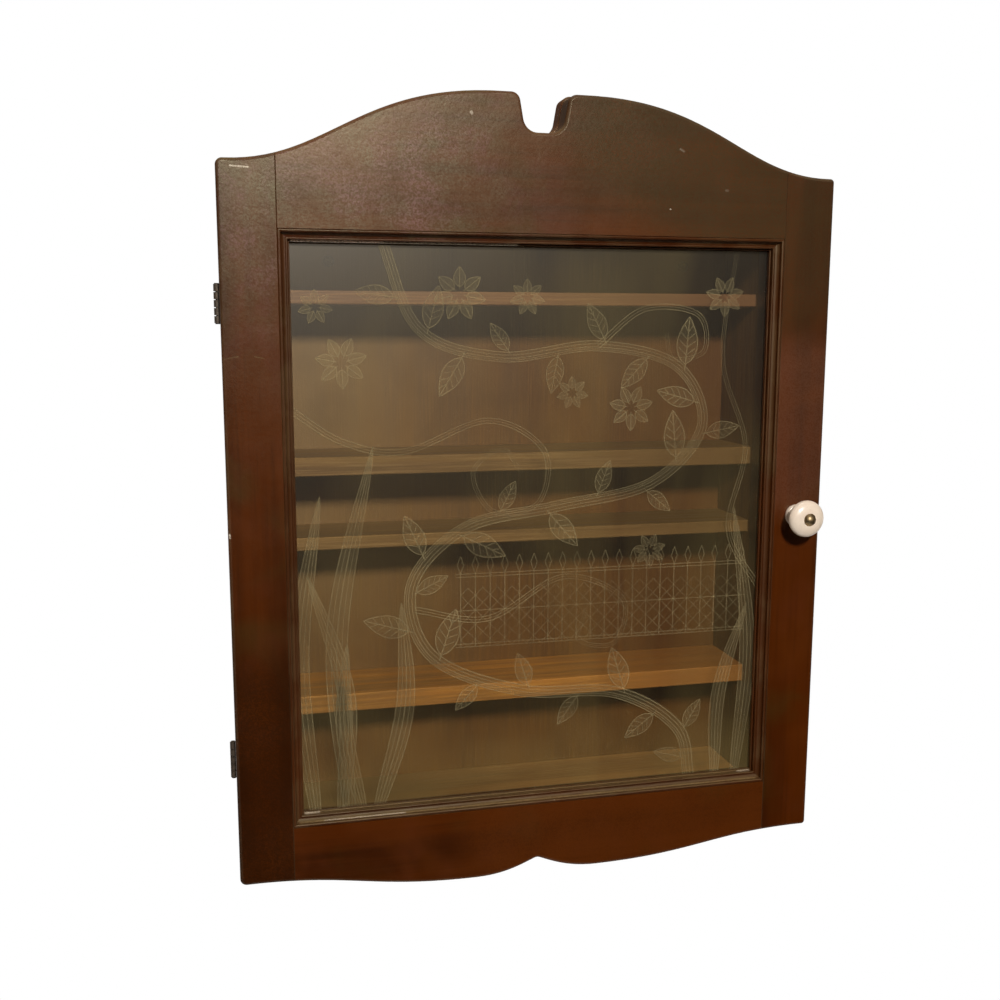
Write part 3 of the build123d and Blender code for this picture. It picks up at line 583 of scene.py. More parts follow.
def smooth_run(points, steps=14):
    """A Catmull-Rom line through 2-D points."""
    points = [Vector(p) for p in points]
    padded = [2 * points[0] - points[1], *points, 2 * points[-1] - points[-2]]
    line = []
    for a, b, c, d in zip(padded, padded[1:], padded[2:], padded[3:]):
        for step in range(steps):
            t = step / steps
            line.append(0.5 * (2 * b + (c - a) * t + (2 * a - 5 * b + 4 * c - d) * t * t
                               + (3 * b - a - 3 * c + d) * t ** 3))
    line.append(points[-1])
    return line


class Sheet:
    """Flat marks in one etched layer, or of a loose shape about its origin if no layer is
    named, drawn in millimetres: either lines, which get their width from Geometry Nodes, or
    filled patches."""

    def __init__(self, layer=None):
        self.layer = layer
        self.points = []
        self.widths = []
        self.steps = []
        self.faces = []

    def point(self, x, z):
        return on_pane(self.layer, x, z) if self.layer else (x * MM, 0.0, z * MM)

    def line(self, path, width, offset=0.0, taper=0.0):
        """A line beside a path; taper narrows it towards its end."""
        first, last = len(self.points), len(path) - 1
        for index, (spot, way) in enumerate(zip(path, directions(path))):
            share = index / last
            spot = spot + Vector((-way.y, way.x)) * offset * (1 - taper * share * 0.6)
            self.points.append(self.point(*spot))
            self.widths.append(width * MM * (1 - taper * share))
        self.steps += [(first + index, first + index + 1) for index in range(last)]

    def segment(self, start, end, width):
        self.line([Vector(start), Vector(end)], width)

    def strip(self, left, right):
        """Fills the space between two lines."""
        first = len(self.points)
        for a, b in zip(left, right):
            self.points += [self.point(*a), self.point(*b)]
        for corner in range(first, first + 2 * len(left) - 2, 2):
            self.faces.append((corner, corner + 1, corner + 3, corner + 2))

    def mesh(self, name, finish):
        if not self.faces:
            return widen(name, self.points, self.steps, self.widths, finish)
        made = new_mesh(name, self.points, self.faces)
        made.data.materials.append(finish)
        return made

    def etch(self, finish):
        hang(self.mesh(self.layer, finish))


def hang(marks):
    """Makes every face of flat marks look out of the door, and hangs them on it."""
    for polygon in marks.data.polygons:
        if polygon.normal.y > 0:
            polygon.flip()
    marks.data.update()
    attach(marks, "door")


def etch_repeats(layer, shape, spots, finish, turns=None, sizes=None):
    """Repeats a loose shape in one etched layer, upright and full size if not told its turns
    and sizes."""
    points = [on_pane(layer, x, z) for x, z in spots]
    angles = [(0.0, turn, 0.0) for turn in turns or [0.0] * len(spots)]
    hang(repeat(layer, shape, points, angles, sizes or [1.0] * len(spots), finish))


def leaf_outline(length, width, steps=12):
    """The right and left edges of a pointed leaf along +z, from its stem to its tip."""
    right = []
    for step in range(steps + 1):
        t = step / steps
        reach = width / 2 * math.sin(math.pi * t ** 0.8) ** 0.9
        right.append(Vector((reach, length * t)))
    left = [Vector((-p.x, p.y)) for p in right]
    return right, left


def leaf_shape(length, width, line, filled, finish, veins=(0.2, 0.36, 0.52, 0.68)):
    """One leaf about its stem: its edge, midrib and side veins, or its filled blade."""
    sheet = Sheet()
    right, left = leaf_outline(length, width)
    if filled:
        sheet.strip(left, right)
        return sheet.mesh("leaf", finish)
    for edge in (right, left):
        sheet.line(edge, line)
    sheet.segment((0, -length * 0.12), (0, length * 0.94), line)
    for share in veins:
        reach = width * 0.42 * math.sin(math.pi * (share + 0.12) ** 0.8)
        for side in (-1, 1):
            sheet.segment((0, length * share), (side * reach, length * (share + 0.15)), line * 0.7)
    return sheet.mesh("leaf", finish)


def etch_leaves(kinds, length, width, line, spots, turns, sizes, **shape):
    """Etches leaves over the pane: for each kind, its layer, finish and whether it's filled."""
    for layer, finish, filled in kinds:
        leaf = leaf_shape(length, width, line, filled, finish, **shape)
        etch_repeats(layer, leaf, spots, finish, turns, sizes)


# Settings


def colour_property(name, description, default):
    return bpy.props.FloatVectorProperty(name=name, description=description, default=default,
                                         subtype="COLOR", size=3, min=0.0, max=1.0)


def number_property(name, description, default, **limits):
    return bpy.props.FloatProperty(name=name, description=description, default=default, **limits)


def share_property(name, description, default):
    return number_property(name, description, default, min=0.0, max=1.0, subtype="FACTOR")


def size_property(name, description, default):
    return number_property(name + " (mm)", description, default, min=0.0)


class CabinetWood(bpy.types.PropertyGroup):
    """Stain and varnish of the door, the mouldings and the face frame."""
    dark: colour_property("Dark", "Darkest streaks of the stain", paint(52, 18, 0))
    middle: colour_property("Middle", "Main tone of the stain", paint(72, 28, 0))
    light: colour_property("Light", "Lighter and redder streaks", paint(84, 38, 6))
    red: colour_property("Red", "Redder clouds of the stain", paint(80, 34, 14))
    olive: colour_property("Olive", "Greener clouds of the stain", paint(60, 40, 12))
    # The pore colour also paints shade over the lower part of the hinge stile.
    pore_and_painted_shade: colour_property("Pore", "Open pores", paint(38, 13, 0))
    # Colours, share and size of the painted sheen: marks in the colour that stand for the varnish's
    # mottled reflection at the top left.
    painted_sheen_khaki: colour_property("Bloom Khaki", "Greener part of the varnish's bloom",
                                 paint(122, 122, 100))
    painted_sheen_pink: colour_property("Bloom Pink", "Redder part of the varnish's bloom",
                                paint(154, 114, 120))
    painted_sheen_share: share_property("Bloom", "How much the varnish has bloomed at the top left", 0.26)
    painted_sheen_size: size_property("Bloom Size", "Width of the marks in the bloom", 1.5)
    worn: colour_property("Worn", "Rubbed wood on the arrises", paint(110, 94, 62))
    # The nick colour also paints highlights along the mouldings' beads.
    nick_and_painted_highlight: colour_property("Nick", "Bare wood in scratches and nicks", paint(216, 200, 178))
    sheen: colour_property("Sheen", "Colour of the varnish's reflections", (0.95, 0.85, 0.57))
    roughness: share_property("Roughness", "Roughness of the varnish", 0.312)
    gloss: share_property("Gloss", "Specular level of the varnish", 0.45)
    dust: colour_property("Dust", "Old dust on ledges and upward edges", paint(112, 92, 54))
    arris_wear: share_property("Arris Wear", "How much of the arris is rubbed", 0.16)
    ledge_dust: share_property("Ledge Dust", "How much dust lies on upward faces", 0.3)
    moulding_wear: share_property("Moulding Wear", "How much of the mouldings is rubbed", 0.2)
    mottle: share_property("Mottle", "How much the varnish's roughness varies", 0.02)
    pebble_size: size_property("Pebble Size", "Width of the varnish's pebbles", 1.7)
    pebble_depth: size_property("Pebble Depth", "Height of the varnish's pebbles", 0.03)
    grain_depth: size_property("Grain Depth", "Height of the grain under the varnish", 0.003)


TONES = ("dark", "middle", "light")
# What each kind of board is, and its dark, middle and light tone.
BOARD_TONES = {
    "shelf": ("the top shelf", (98, 64, 34), (122, 84, 46), (146, 106, 64)),
    "grey": ("the middle shelves", (98, 70, 33), (124, 93, 49), (148, 116, 74)),
    # The lowest shelf's tones are paler than the other shelves': painted light, for the stronger
    # light on it.
    "pale": ("the lowest shelf", (140, 91, 38), (190, 124, 44), (208, 146, 60)),
    "floor": ("the cabinet's floor", (128, 88, 44), (156, 110, 58), (176, 132, 78)),
    "case": ("the inside of the case", (78, 51, 22), (100, 68, 32), (122, 86, 46)),
    "back": ("the back board", (79, 45, 5), (94, 57, 8), (111, 72, 16)),
}


def with_tones(group):
    """Gives a group a colour for each tone of each kind of board."""
    for board, (place, *colours) in BOARD_TONES.items():
        for tone, colour in zip(TONES, colours):
            group.__annotations__[f"{board}_{tone}"] = colour_property(
                f"{board} {tone}".title(), f"{tone.capitalize()} tone of {place}", paint(*colour))
    return group


@with_tones
class CabinetBoards(bpy.types.PropertyGroup):
    """Tones of the shelves, the case and the back board."""
    dusty: colour_property("Dusty", "Old dust on the floor and the lowest shelf",
                           paint(98, 78, 44))
    # The back board's lighter tone for its upper left: painted light.
    back_painted_light: colour_property("Back Faded", "Bleached part of the back board",
                                paint(132, 107, 68))


class CabinetGlass(bpy.types.PropertyGroup):
    """The pane, its dust and its etched marks."""
    tint: colour_property("Tint", "What the glass lets through at each face", (0.96, 0.945, 0.90))
    haze_colour: colour_property("Haze", "Colour of the haze's shine", (1.0, 0.88, 0.72))
    haze_share: share_property("Haze Share", "Share of the haze", 0.033)
    haze_roughness: share_property("Haze Roughness", "Spread of the haze's shine", 0.35)
    shine_share: share_property("Shine Share", "Most of the glass's own reflection", 0.5)
    shine_roughness: share_property("Shine Roughness", "Roughness of the reflection", 0.12)
    dust_colour: colour_property("Dust", "Colour of the dust", (0.42, 0.31, 0.11))
    dust_share: share_property("Dust Share", "Share of the dust on each face", 0.018)
    settled_share: share_property("Settled Dust", "Share of the dust low on the pane", 0.07)
    frost_colour: colour_property("Frost", "Colour of the etched marks", (0.37, 0.29, 0.145))
    line_share: share_property("Line Share", "Cover of an etched line", 0.265)
    patch_share: share_property("Patch Share", "Cover of an etched patch", 0.064)
    line_width: size_property("Line Width", "Width of an etched line", 0.85)
    leaf_length: size_property("Leaf Length", "Length of a vine leaf", 34.0)
    leaf_width: size_property("Leaf Width", "Width of a vine leaf", 16.0)


class CabinetHardware(bpy.types.PropertyGroup):
    """The knob, the hinges and the fasteners."""
    porcelain: colour_property("Porcelain", "Glazed body of the knob", (0.84, 0.70, 0.55))
    porcelain_shade: colour_property("Porcelain Shade", "Thinner glaze", (0.78, 0.62, 0.48))
    craze: colour_property("Crazing", "Cracks and specks in the glaze", (0.3, 0.2, 0.12))
    brass: colour_property("Brass", "Rubbed brass", (0.36, 0.25, 0.13))
    brass_dull: colour_property("Dull Brass", "Tarnished brass", (0.14, 0.09, 0.045))
    hinge: colour_property("Hinge", "Bronzed steel of the hinges", (0.10, 0.075, 0.052))
    hinge_dull: colour_property("Hinge Dull", "Darker bronzing", (0.05, 0.036, 0.026))
    steel: colour_property("Steel", "Steel of the nails and screws", (0.5, 0.48, 0.45))
    steel_dull: colour_property("Steel Dull", "Dulled steel", (0.24, 0.21, 0.18))
    rust: colour_property("Rust", "Spots of rust", (0.16, 0.07, 0.03))
    slot_share: share_property("Slot", "Width of a screw's slot, as a share of its head", 0.2)


class CabinetStage(bpy.types.PropertyGroup):
    """Camera, lamps and floor."""
    camera_place: bpy.props.FloatVectorProperty(
        name="Camera", description="Where the camera stands", subtype="TRANSLATION",
        unit="LENGTH", default=(-0.23073, -0.92571, -0.04961))
    camera_turn: bpy.props.FloatVectorProperty(
        name="Camera Turn", description="The camera's Euler angles", subtype="EULER",
        default=tuple(math.radians(a) for a in (81.1131, -0.13068, -13.60978)))
    lens: number_property("Lens", "Focal length", 40.265, unit="CAMERA")
    key_bearing: number_property("Key Bearing", "Key lamp's angle to the right of straight ahead",
                                 math.radians(-3.5), subtype="ANGLE")
    key_height: number_property("Key Height", "Key lamp's angle above level",
                                math.radians(28.5), subtype="ANGLE")
    key_distance: number_property("Key Distance", "Key lamp's distance from the door", 2.4,
                                  unit="LENGTH")
    key_size: number_property("Key Size", "Side of the key lamp", 0.28, unit="LENGTH")
    key_level: number_property("Key Level", "Share of full light that the key gives", 1.08)
    fill_level: number_property("Fill Level", "Share of full light from each side lamp", 0.5)
    room_level: number_property("Room Level", "Brightness of the room round the object", 0.12)
    floor_drop: number_property("Floor Drop", "How far the floor lies below the cabinet", 1.0,
                                unit="LENGTH")


SETTINGS = {
    "cabinet_wood": CabinetWood,
    "cabinet_boards": CabinetBoards,
    "cabinet_glass": CabinetGlass,
    "cabinet_hardware": CabinetHardware,
    "cabinet_stage": CabinetStage,
}


# Operators


def scratches_and_painted_light(wood):
    """Where each stained piece is scratched, nicked or broadly tinted, and where painted shade and
    painted highlights lie on it: start, end, half width, cover, colour.
    """
    return {
        "door_stile_hinge": (
            (on_door(-224.5, 263), on_door(-212.5, 262.3), 0.0008, 0.7, wood.nick_and_painted_highlight),
            (on_door(-235, 131), on_door(-223, 133), 0.0005, 0.4, wood.worn),
            (on_door(-212, 133), on_door(-205, 131.5), 0.0005, 0.4, wood.worn),
            # A broad dark mark in the pore colour over the stile's lower part: painted shade.
            (on_door(-215, -330), on_door(-215, -150), 0.09, 0.8, wood.pore_and_painted_shade),
            (on_door(-233.6, 6), on_door(-233.3, 4), 0.0012, 0.9, wood.nick_and_painted_highlight),
        ),
        "door_stile_lock": (
            (on_door(200, 310), on_door(200, 190), 0.06, 0.6, paint(50, 36, 17)),
            # A faint pale mark on the right stile's middle: painted sheen.
            (on_door(212, 110), on_door(212, 40), 0.05, 0.1, paint(150, 114, 96)),
        ),
        "door_crest_rail": (
            (on_door(70, 300), on_door(190, 235), 0.08, 0.8, paint(52, 38, 18)),
            (on_door(-55.3, 305.5), on_door(-55, 305), 0.0016, 0.4, wood.nick_and_painted_highlight),
            (on_door(98, 242), on_door(98.2, 241.9), 0.0008, 0.85, wood.nick_and_painted_highlight),
            (on_door(27, 219), on_door(27.4, 218.9), 0.0007, 0.5, wood.nick_and_painted_highlight),
            (on_door(105, 286), on_door(108, 284.5), 0.0012, 0.13, wood.nick_and_painted_highlight),
            (on_door(143, 257), on_door(144.5, 257), 0.0012, 0.1, wood.nick_and_painted_highlight),
        ),
        "glass_moulding_top": (
            # A pale line along the innermost bead, pinkish on the left and in the nick colour
            # further right: a painted highlight.
            (on_bead(-183, 214.4), on_bead(-120, 214.4), 0.0026, 1.0, (0.90, 0.70, 0.56)),
            (on_bead(-120, 214.4), on_bead(-20, 214.4), 0.0026, 0.7, wood.nick_and_painted_highlight),
        ),
        "door_bottom_rail": (
            (on_door(-20, -245), on_door(190, -240), 0.06, 0.7, wood.light),
        ),
        "glass_moulding_bottom": (
            # Khaki lines along the cove and the bead, and pale nicks near their ends: partly worn
            # finish, partly painted highlights.
            (on_cove(-188, -219.3), on_cove(188, -219.3), 0.0011, 0.4, (0.32, 0.22, 0.09)),
            (on_bead(-184, -214.6), on_bead(184, -214.6), 0.002, 0.3, (0.26, 0.18, 0.07)),
            (on_cove(-170, -219.2), on_cove(-108, -219.2), 0.0009, 0.45, wood.nick_and_painted_highlight),
            (on_bead(-184, -214.4), on_bead(-174, -214.4), 0.0013, 0.5, wood.nick_and_painted_highlight),
            (on_bead(174, -214.4), on_bead(184, -214.4), 0.0013, 0.35, wood.nick_and_painted_highlight),
            (on_door(10.6, -219.3), on_door(12, -219.6), 0.0009, 0.95, wood.nick_and_painted_highlight),
        ),
    }


class CABINET_OT_stained_wood(bpy.types.Operator):
    """Stains and varnishes the door, the mouldings and the face frame"""
    bl_idname = "cabinet.stained_wood"
    bl_label = "Stained Wood"

    def execute(self, context):
        wood = context.scene.cabinet_wood
        marks = scratches_and_painted_light(wood)
        for along, names in (("Z", UPRIGHT_STAINED), ("X", LEVEL_STAINED)):
            for number, name in enumerate(names):
                seed = number + (10 if along == "X" else 0)
                narrow = name.startswith("glass_")
                wear = 0.0 if name == "glass_moulding_top" else 1.0
                gloss = 0.55 if name == "glass_moulding_top" else 1.0
                dress(name, stained_wood("stained_" + name, along, wood, seed,
                                         marks.get(name, ()), wear, narrow, gloss,
                                         0.0 if name.startswith("face_") else wood.painted_sheen_share))
        return {"FINISHED"}


class CABINET_OT_boards(bpy.types.Operator):
    """Gives the shelves, the case and the back board their dry wood"""
    bl_idname = "cabinet.boards"
    bl_label = "Shelves, Case and Back"

    def execute(self, context):
        boards = context.scene.cabinet_boards
        outside = context.scene.cabinet_wood
        shelf, grey, case, back, pale, floor = (
            [getattr(boards, f"{board}_{tone}") for tone in TONES]
            for board in ("shelf", "grey", "case", "back", "pale", "floor")
        )
        back.append(boards.back_painted_light)
        pale.append(boards.dusty)
        floor.append(boards.dusty)
        for number, tones in enumerate((shelf, grey, grey, pale)):
            name = f"shelf_{number + 1}"
            dress(name, plain_board("wood_" + name, "X", tones, number, 9.0,
                                    dulled=0.25 if tones is pale else 0.0, shaded=0.9))
        for number, name in enumerate(("case_side_left", "case_side_right")):
            dress(name, plain_board("wood_" + name, "Z", case, number + 5, outside=outside))
        dress("case_top", plain_board("wood_case_top", "X", case, 8, outside=outside))
        dress("case_bottom", plain_board("wood_floor", "X", floor, 9, outside=outside,
                                         dulled=0.75))
        dress("hanging_rail", plain_board("wood_hanging_rail", "X", case, 11))
        dress("back_panel", plain_board("wood_back_panel", "Z", back, 12, 40.0, painted_light_and_shade=0.7))
        dress("face_frame_dowels", plain_board("wood_dowels", "X", shelf, 14, 3.0))
        return {"FINISHED"}


class CABINET_OT_glass(bpy.types.Operator):
    """Gives the pane its tint, haze and dust"""
    bl_idname = "cabinet.glass"
    bl_label = "Glass Pane"

    def execute(self, context):
        dress("glass_pane", old_glass("old_glass", context.scene.cabinet_glass))
        return {"FINISHED"}


# Middle lines of the etched vine and its tendrils, in millimetres from the middle of the glass.
VINE = ((132, -218), (120, -172), (66, -138), (-14, -130), (-84, -98), (-100, -42), (-58, 2),
        (14, 16), (92, 32), (134, 76), (112, 124), (46, 140), (-30, 132), (-92, 152), (-120, 218))
RUNNERS = (
    ((-190, 96), (-150, 70), (-104, 62), (-40, 84), (4, 60), (0, 20), (-36, 14), (-52, 44),
     (-30, 62), (-14, 44)),
    ((190, -60), (160, -8), (172, 60), (150, 130), (160, 218)),
    ((46, 140), (84, 168), (128, 164), (134, 136), (108, 130), (102, 150)),
    ((-98, -60), (-40, -70), (20, -40), (70, -60), (64, -96), (34, -92), (40, -68)),
)
# Place across the stem, in millimetres, and share of the full line width, of each of its lines.
STEMS = ((-4.4, 1.0), (-1.6, 0.7), (1.2, 0.9), (3.0, 0.6), (4.8, 0.9))
RUNNER_STEMS = ((-2.2, 1.0), (0.0, 0.6), (2.2, 0.9))
VINE_WIDTH = 11.0
# How much of their width the vine and its tendrils lose towards their ends.
VINE_TAPER = 0.35
RUNNER_TAPER = 0.7
# How far a leaf's stem starts from the vine's middle, in millimetres, and the steps of the
# vine's line before its first leaf and between its leaves.
VINE_REACH = 5.0
LEAF_START = 6
LEAF_STEP = 7
# Foot, tip, bow and width of each etched reed.
REEDS = (
    ((-176, -218), (-168, 30), -14, 15), ((-156, -218), (-178, -30), 16, 13),
    ((-150, -218), (-128, 66), -18, 16), ((-128, -218), (-108, -54), 12, 14),
    ((-140, -218), (-150, -84), -8, 12), ((172, -218), (164, 10), 12, 13),
    ((154, -218), (178, -70), -10, 12),
)
# Middle and reach of each blossom, and its petals: their count, where they start as a share of
# the reach, and the size of a petal in a blossom of full reach.
BLOSSOMS = ((-62, 178, 19), (74, 92, 17), (-10, 176, 13), (150, 178, 15), (26, 104, 12),
            (-150, 128, 18), (-168, 168, 12), (92, -22, 13))
PETALS = 7
PETAL_START = 0.28
PETAL_LENGTH = 14.0
PETAL_WIDTH = 8.5
FULL_REACH = 18.0
# Edges of the trellis, its pitch, how far the tips of its pickets reach out and up, the gap
# between its doubled rails, and how far these run past it.
TRELLIS_LOW, TRELLIS_HIGH = -92.0, -34.0
TRELLIS_LEFT, TRELLIS_RIGHT = -62.0, 172.0
TRELLIS_PITCH = 11.7
TIP_REACH = 2.6
TIP_HEIGHT = 14
RAIL_GAP = 2.4
RAIL_END = 4


class CABINET_OT_vine(bpy.types.Operator):
    """Etches a leafy vine and its tendrils across the pane"""
    bl_idname = "cabinet.vine"
    bl_label = "Etched Vine"

    def execute(self, context):
        glass = context.scene.cabinet_glass
        lines = etched("etched_line", glass, glass.line_share)
        patches = etched("etched_patch", glass, glass.patch_share)
        run = smooth_run(VINE)
        stem = Sheet("etched_vine_stem")
        for offset, share in STEMS:
            stem.line(run, glass.line_width * share, offset, VINE_TAPER)
        stem.etch(lines)
        band = Sheet("etched_vine_band")
        band.line(run, VINE_WIDTH, taper=VINE_TAPER)
        band.etch(patches)
        tendrils = Sheet("etched_tendrils")
        for runner in RUNNERS:
            path = smooth_run(runner)
            for offset, share in RUNNER_STEMS:
                tendrils.line(path, glass.line_width * share, offset, RUNNER_TAPER)
        tendrils.etch(lines)

        ways = directions(run)
        spots, turns, sizes = [], [], []
        chance = random.Random(4)
        for number, index in enumerate(range(LEAF_START, len(run) - LEAF_START, LEAF_STEP)):
            side = -1 if number % 2 else 1
            way = ways[index]
            across = Vector((-way.y, way.x)) * side
            spot = run[index] + across * VINE_REACH
            lean = (across + way * chance.uniform(0.3, 0.8)).normalized()
            spots.append(spot)
            turns.append(math.atan2(lean.x, lean.y))
            sizes.append(chance.uniform(0.7, 1.15))
        etch_leaves((("etched_vine_leaves", lines, False), ("etched_vine_blades", patches, True)),
                    glass.leaf_length, glass.leaf_width, glass.line_width, spots, turns, sizes)
        return {"FINISHED"}


class CABINET_OT_reeds(bpy.types.Operator):
    """Etches tall reeds at both sides of the pane"""
    bl_idname = "cabinet.reeds"
    bl_label = "Etched Reeds"

    def execute(self, context):
        glass = context.scene.cabinet_glass
        lines = etched("etched_reed_line", glass, glass.line_share * 0.85)
        patches = etched("etched_reed_patch", glass, glass.patch_share * 1.2)
        edges, blades = Sheet("etched_reed_lines"), Sheet("etched_reed_blades")
        for foot, tip, bow, width in REEDS:
            foot, tip = Vector(foot), Vector(tip)
            middle = (foot + tip) / 2 + Vector((bow, 0))
            run = smooth_run((foot, middle, tip), 20)
            last = len(run) - 1
            reach = [width / 2 * math.sin(math.pi * (0.12 + 0.88 * i / last)) ** 0.7
                     for i in range(last + 1)]
            sides = [Vector((-way.y, way.x)) for way in directions(run)]
            blades.strip([p + s * r for p, s, r in zip(run, sides, reach)],
                         [p - s * r for p, s, r in zip(run, sides, reach)])
            for share in (-1, -0.5, 0, 0.5, 1):
                line = [p + s * r * share for p, s, r in zip(run, sides, reach)]
                edges.line(line, glass.line_width * (0.6 if share % 1 else 1.0))
        edges.etch(lines)
        blades.etch(patches)
        return {"FINISHED"}


class CABINET_OT_blossoms(bpy.types.Operator):
    """Etches small blossoms between the leaves"""
    bl_idname = "cabinet.blossoms"
    bl_label = "Etched Blossoms"

    def execute(self, context):
        glass = context.scene.cabinet_glass
        lines = etched("etched_blossom_line", glass, glass.line_share * 0.9)
        patches = etched("etched_blossom_patch", glass, glass.patch_share * 1.6)
        spots, turns, sizes = [], [], []
        for number, (x, z, reach) in enumerate(BLOSSOMS):
            start = reach * PETAL_START
            for petal in range(PETALS):
                angle = 2 * math.pi * (petal / PETALS + 0.07 * number)
                spots.append((x + math.sin(angle) * start, z + math.cos(angle) * start))
                turns.append(angle)
                sizes.append(reach / FULL_REACH)
        etch_leaves((("etched_petal_lines", lines, False), ("etched_petal_fills", patches, True)),
                    PETAL_LENGTH, PETAL_WIDTH, glass.line_width * 0.8, spots, turns, sizes,
                    veins=())
        return {"FINISHED"}


class CABINET_OT_trellis(bpy.types.Operator):
    """Etches a low trellis behind the vine"""
    bl_idname = "cabinet.trellis"
    bl_label = "Etched Trellis"

    def execute(self, context):
        glass = context.scene.cabinet_glass
        lines = etched("etched_trellis_line", glass, glass.line_share * 0.75)
        top = TRELLIS_HIGH - TRELLIS_LOW
        bar = Sheet()
        bar.segment((0, 0), (0, top), glass.line_width)
        for reach in (-TIP_REACH, TIP_REACH):
            corner = (reach, top + TIP_HEIGHT / 2)
            bar.segment((0, top), corner, glass.line_width * 0.8)
            bar.segment(corner, (0, top + TIP_HEIGHT), glass.line_width * 0.8)
        count = int((TRELLIS_RIGHT - TRELLIS_LEFT) / TRELLIS_PITCH) + 1
        spots = [(TRELLIS_LEFT + TRELLIS_PITCH * i, TRELLIS_LOW) for i in range(count)]
        etch_repeats("etched_pickets", bar.mesh("picket", lines), spots, lines)

        cell = Sheet()
        half = TRELLIS_PITCH / 2
        corners = ((-half, 0), (0, half), (half, 0), (0, -half), (-half, 0))
        for start, end in zip(corners, corners[1:]):
            cell.segment(start, end, glass.line_width * 0.6)
        spots = [(TRELLIS_LEFT + TRELLIS_PITCH * (i + 0.5), TRELLIS_LOW + TRELLIS_PITCH * (j + 0.5))
                 for i in range(count - 1) for j in range(int(top / TRELLIS_PITCH))]
        etch_repeats("etched_lattice", cell.mesh("lattice_cell", lines), spots, lines)

        rails = Sheet("etched_rails")
        for height in (TRELLIS_LOW, TRELLIS_LOW + RAIL_GAP, TRELLIS_HIGH, TRELLIS_HIGH - RAIL_GAP,
                       (TRELLIS_LOW + TRELLIS_HIGH) / 2):
            rails.segment((TRELLIS_LEFT - RAIL_END, height), (TRELLIS_RIGHT + RAIL_END, height),
                          glass.line_width)
        rails.etch(lines)
        return {"FINISHED"}


class CABINET_OT_knob(bpy.types.Operator):
    """Glazes the knob and ages its brass bolt"""
    bl_idname = "cabinet.knob"
    bl_label = "Knob"

    def execute(self, context):
        hardware = context.scene.cabinet_hardware
        dress("knob", porcelain("knob_porcelain", hardware))
        brass = aged_metal("knob_brass", hardware.brass, hardware.brass_dull,
                           hardware.brass_dull, 0.36)
        for name in ("knob_bolt", "knob_nut", "knob_washer"):
            dress(name, brass)
        return {"FINISHED"}


# Shares of a screw head's radius: the slot's depth, the height of the head's rim and the screw's
# point. The slot of a round head ends at a share of its dome.
SLOT_DEPTH = 0.32
ROUND_SLOT_END = 0.35
HEAD_RIM = 0.08
POINT_RADIUS = 0.08
# Shares of a screw's shank: its pitch and its root, of its radius, how much it narrows to its
# point, and how much of its length is plain.
THREAD_PITCH = 0.9
THREAD_ROOT = 0.72
THREAD_TAPER = 0.35
PLAIN_LENGTH = 0.3
# Divisions of a screw's head, across and up, and round its shank.
HEAD_ACROSS, HEAD_UP = 12, 6
SHANK_ROUND = 24


def add_grid(vertices, faces, rows, flip=False):
    """Adds rows of points, and the faces between them, to the lists of a mesh."""
    first, width = len(vertices), len(rows[0])
    for row in rows:
        vertices.extend(row)
    for j in range(len(rows) - 1):
        for i in range(width - 1):
            corner = first + j * width + i
            quad = (corner, corner + 1, corner + 1 + width, corner + width)
            faces.append(quad[::-1] if flip else quad)


def half_head(side, half_slot, dome):
    """Rows of points over a head of radius 1, from one edge of its slot to its rim."""
    rows = []
    for j in range(HEAD_UP + 1):
        z = half_slot + (1 - half_slot) * math.sin(math.pi / 2 * j / HEAD_UP)
        reach = math.sqrt(max(0.0, 1 - z * z))
        xs = [reach * math.sin(math.pi / 2 * (2 * i / HEAD_ACROSS - 1))
              for i in range(HEAD_ACROSS + 1)]
        rows.append([(x, -dome * (1 - x * x - z * z), side * z) for x in xs])
    return rows


def shank_rings(shank, length, half_slot, cone):
    """Radius and depth of each ring of a screw from its head's rim to its point, for a head of
    radius 1."""
    rings = [(1.0, 0.0)]
    if cone:
        rings += [(math.sqrt(1 - half_slot * half_slot), HEAD_RIM),
                  (shank, HEAD_RIM + (1 - shank) * cone)]
    else:
        rings += [(shank, 0.0)]
    start = rings[-1][1]
    threads = max(3, round((length - start) / (shank * THREAD_PITCH)))
    for turn in range(threads * 2):
        share = turn / (threads * 2)
        depth = start + (length - start) * (PLAIN_LENGTH + (1 - PLAIN_LENGTH) * share)
        taper = 1 - THREAD_TAPER * share
        rings.append((shank * taper * (1.0 if turn % 2 else THREAD_ROOT), depth))
    rings.append((POINT_RADIUS, length))
    return rings


def screw(name, head, shank, length, slot_share, dome=0.06, cone=1.0):
    """A slotted screw along +y, its head's rim at y = 0, in metres. dome is the head's rise and
    cone its countersink, both as shares of its radius."""
    vertices, faces = [], []
    half_slot = slot_share / 2
    floor = SLOT_DEPTH if cone else -dome * ROUND_SLOT_END
    walls = []
    for side in (1, -1):
        rows = half_head(side, half_slot, dome)
        walls.append([(x, max(y, floor), z) for x, y, z in rows[0]])
        add_grid(vertices, faces, rows, side < 0)
        add_grid(vertices, faces, [walls[-1], rows[0]], side < 0)
    add_grid(vertices, faces, walls[::-1])
    angles = [2 * math.pi * i / SHANK_ROUND for i in range(SHANK_ROUND + 1)]
    add_grid(vertices, faces, [[(radius * math.cos(a), y, radius * math.sin(a)) for a in angles]
                               for radius, y in shank_rings(shank / head, length / head,
                                                            half_slot, cone)])
    return new_mesh(name, [(x * head, y * head, z * head) for x, y, z in vertices], faces)


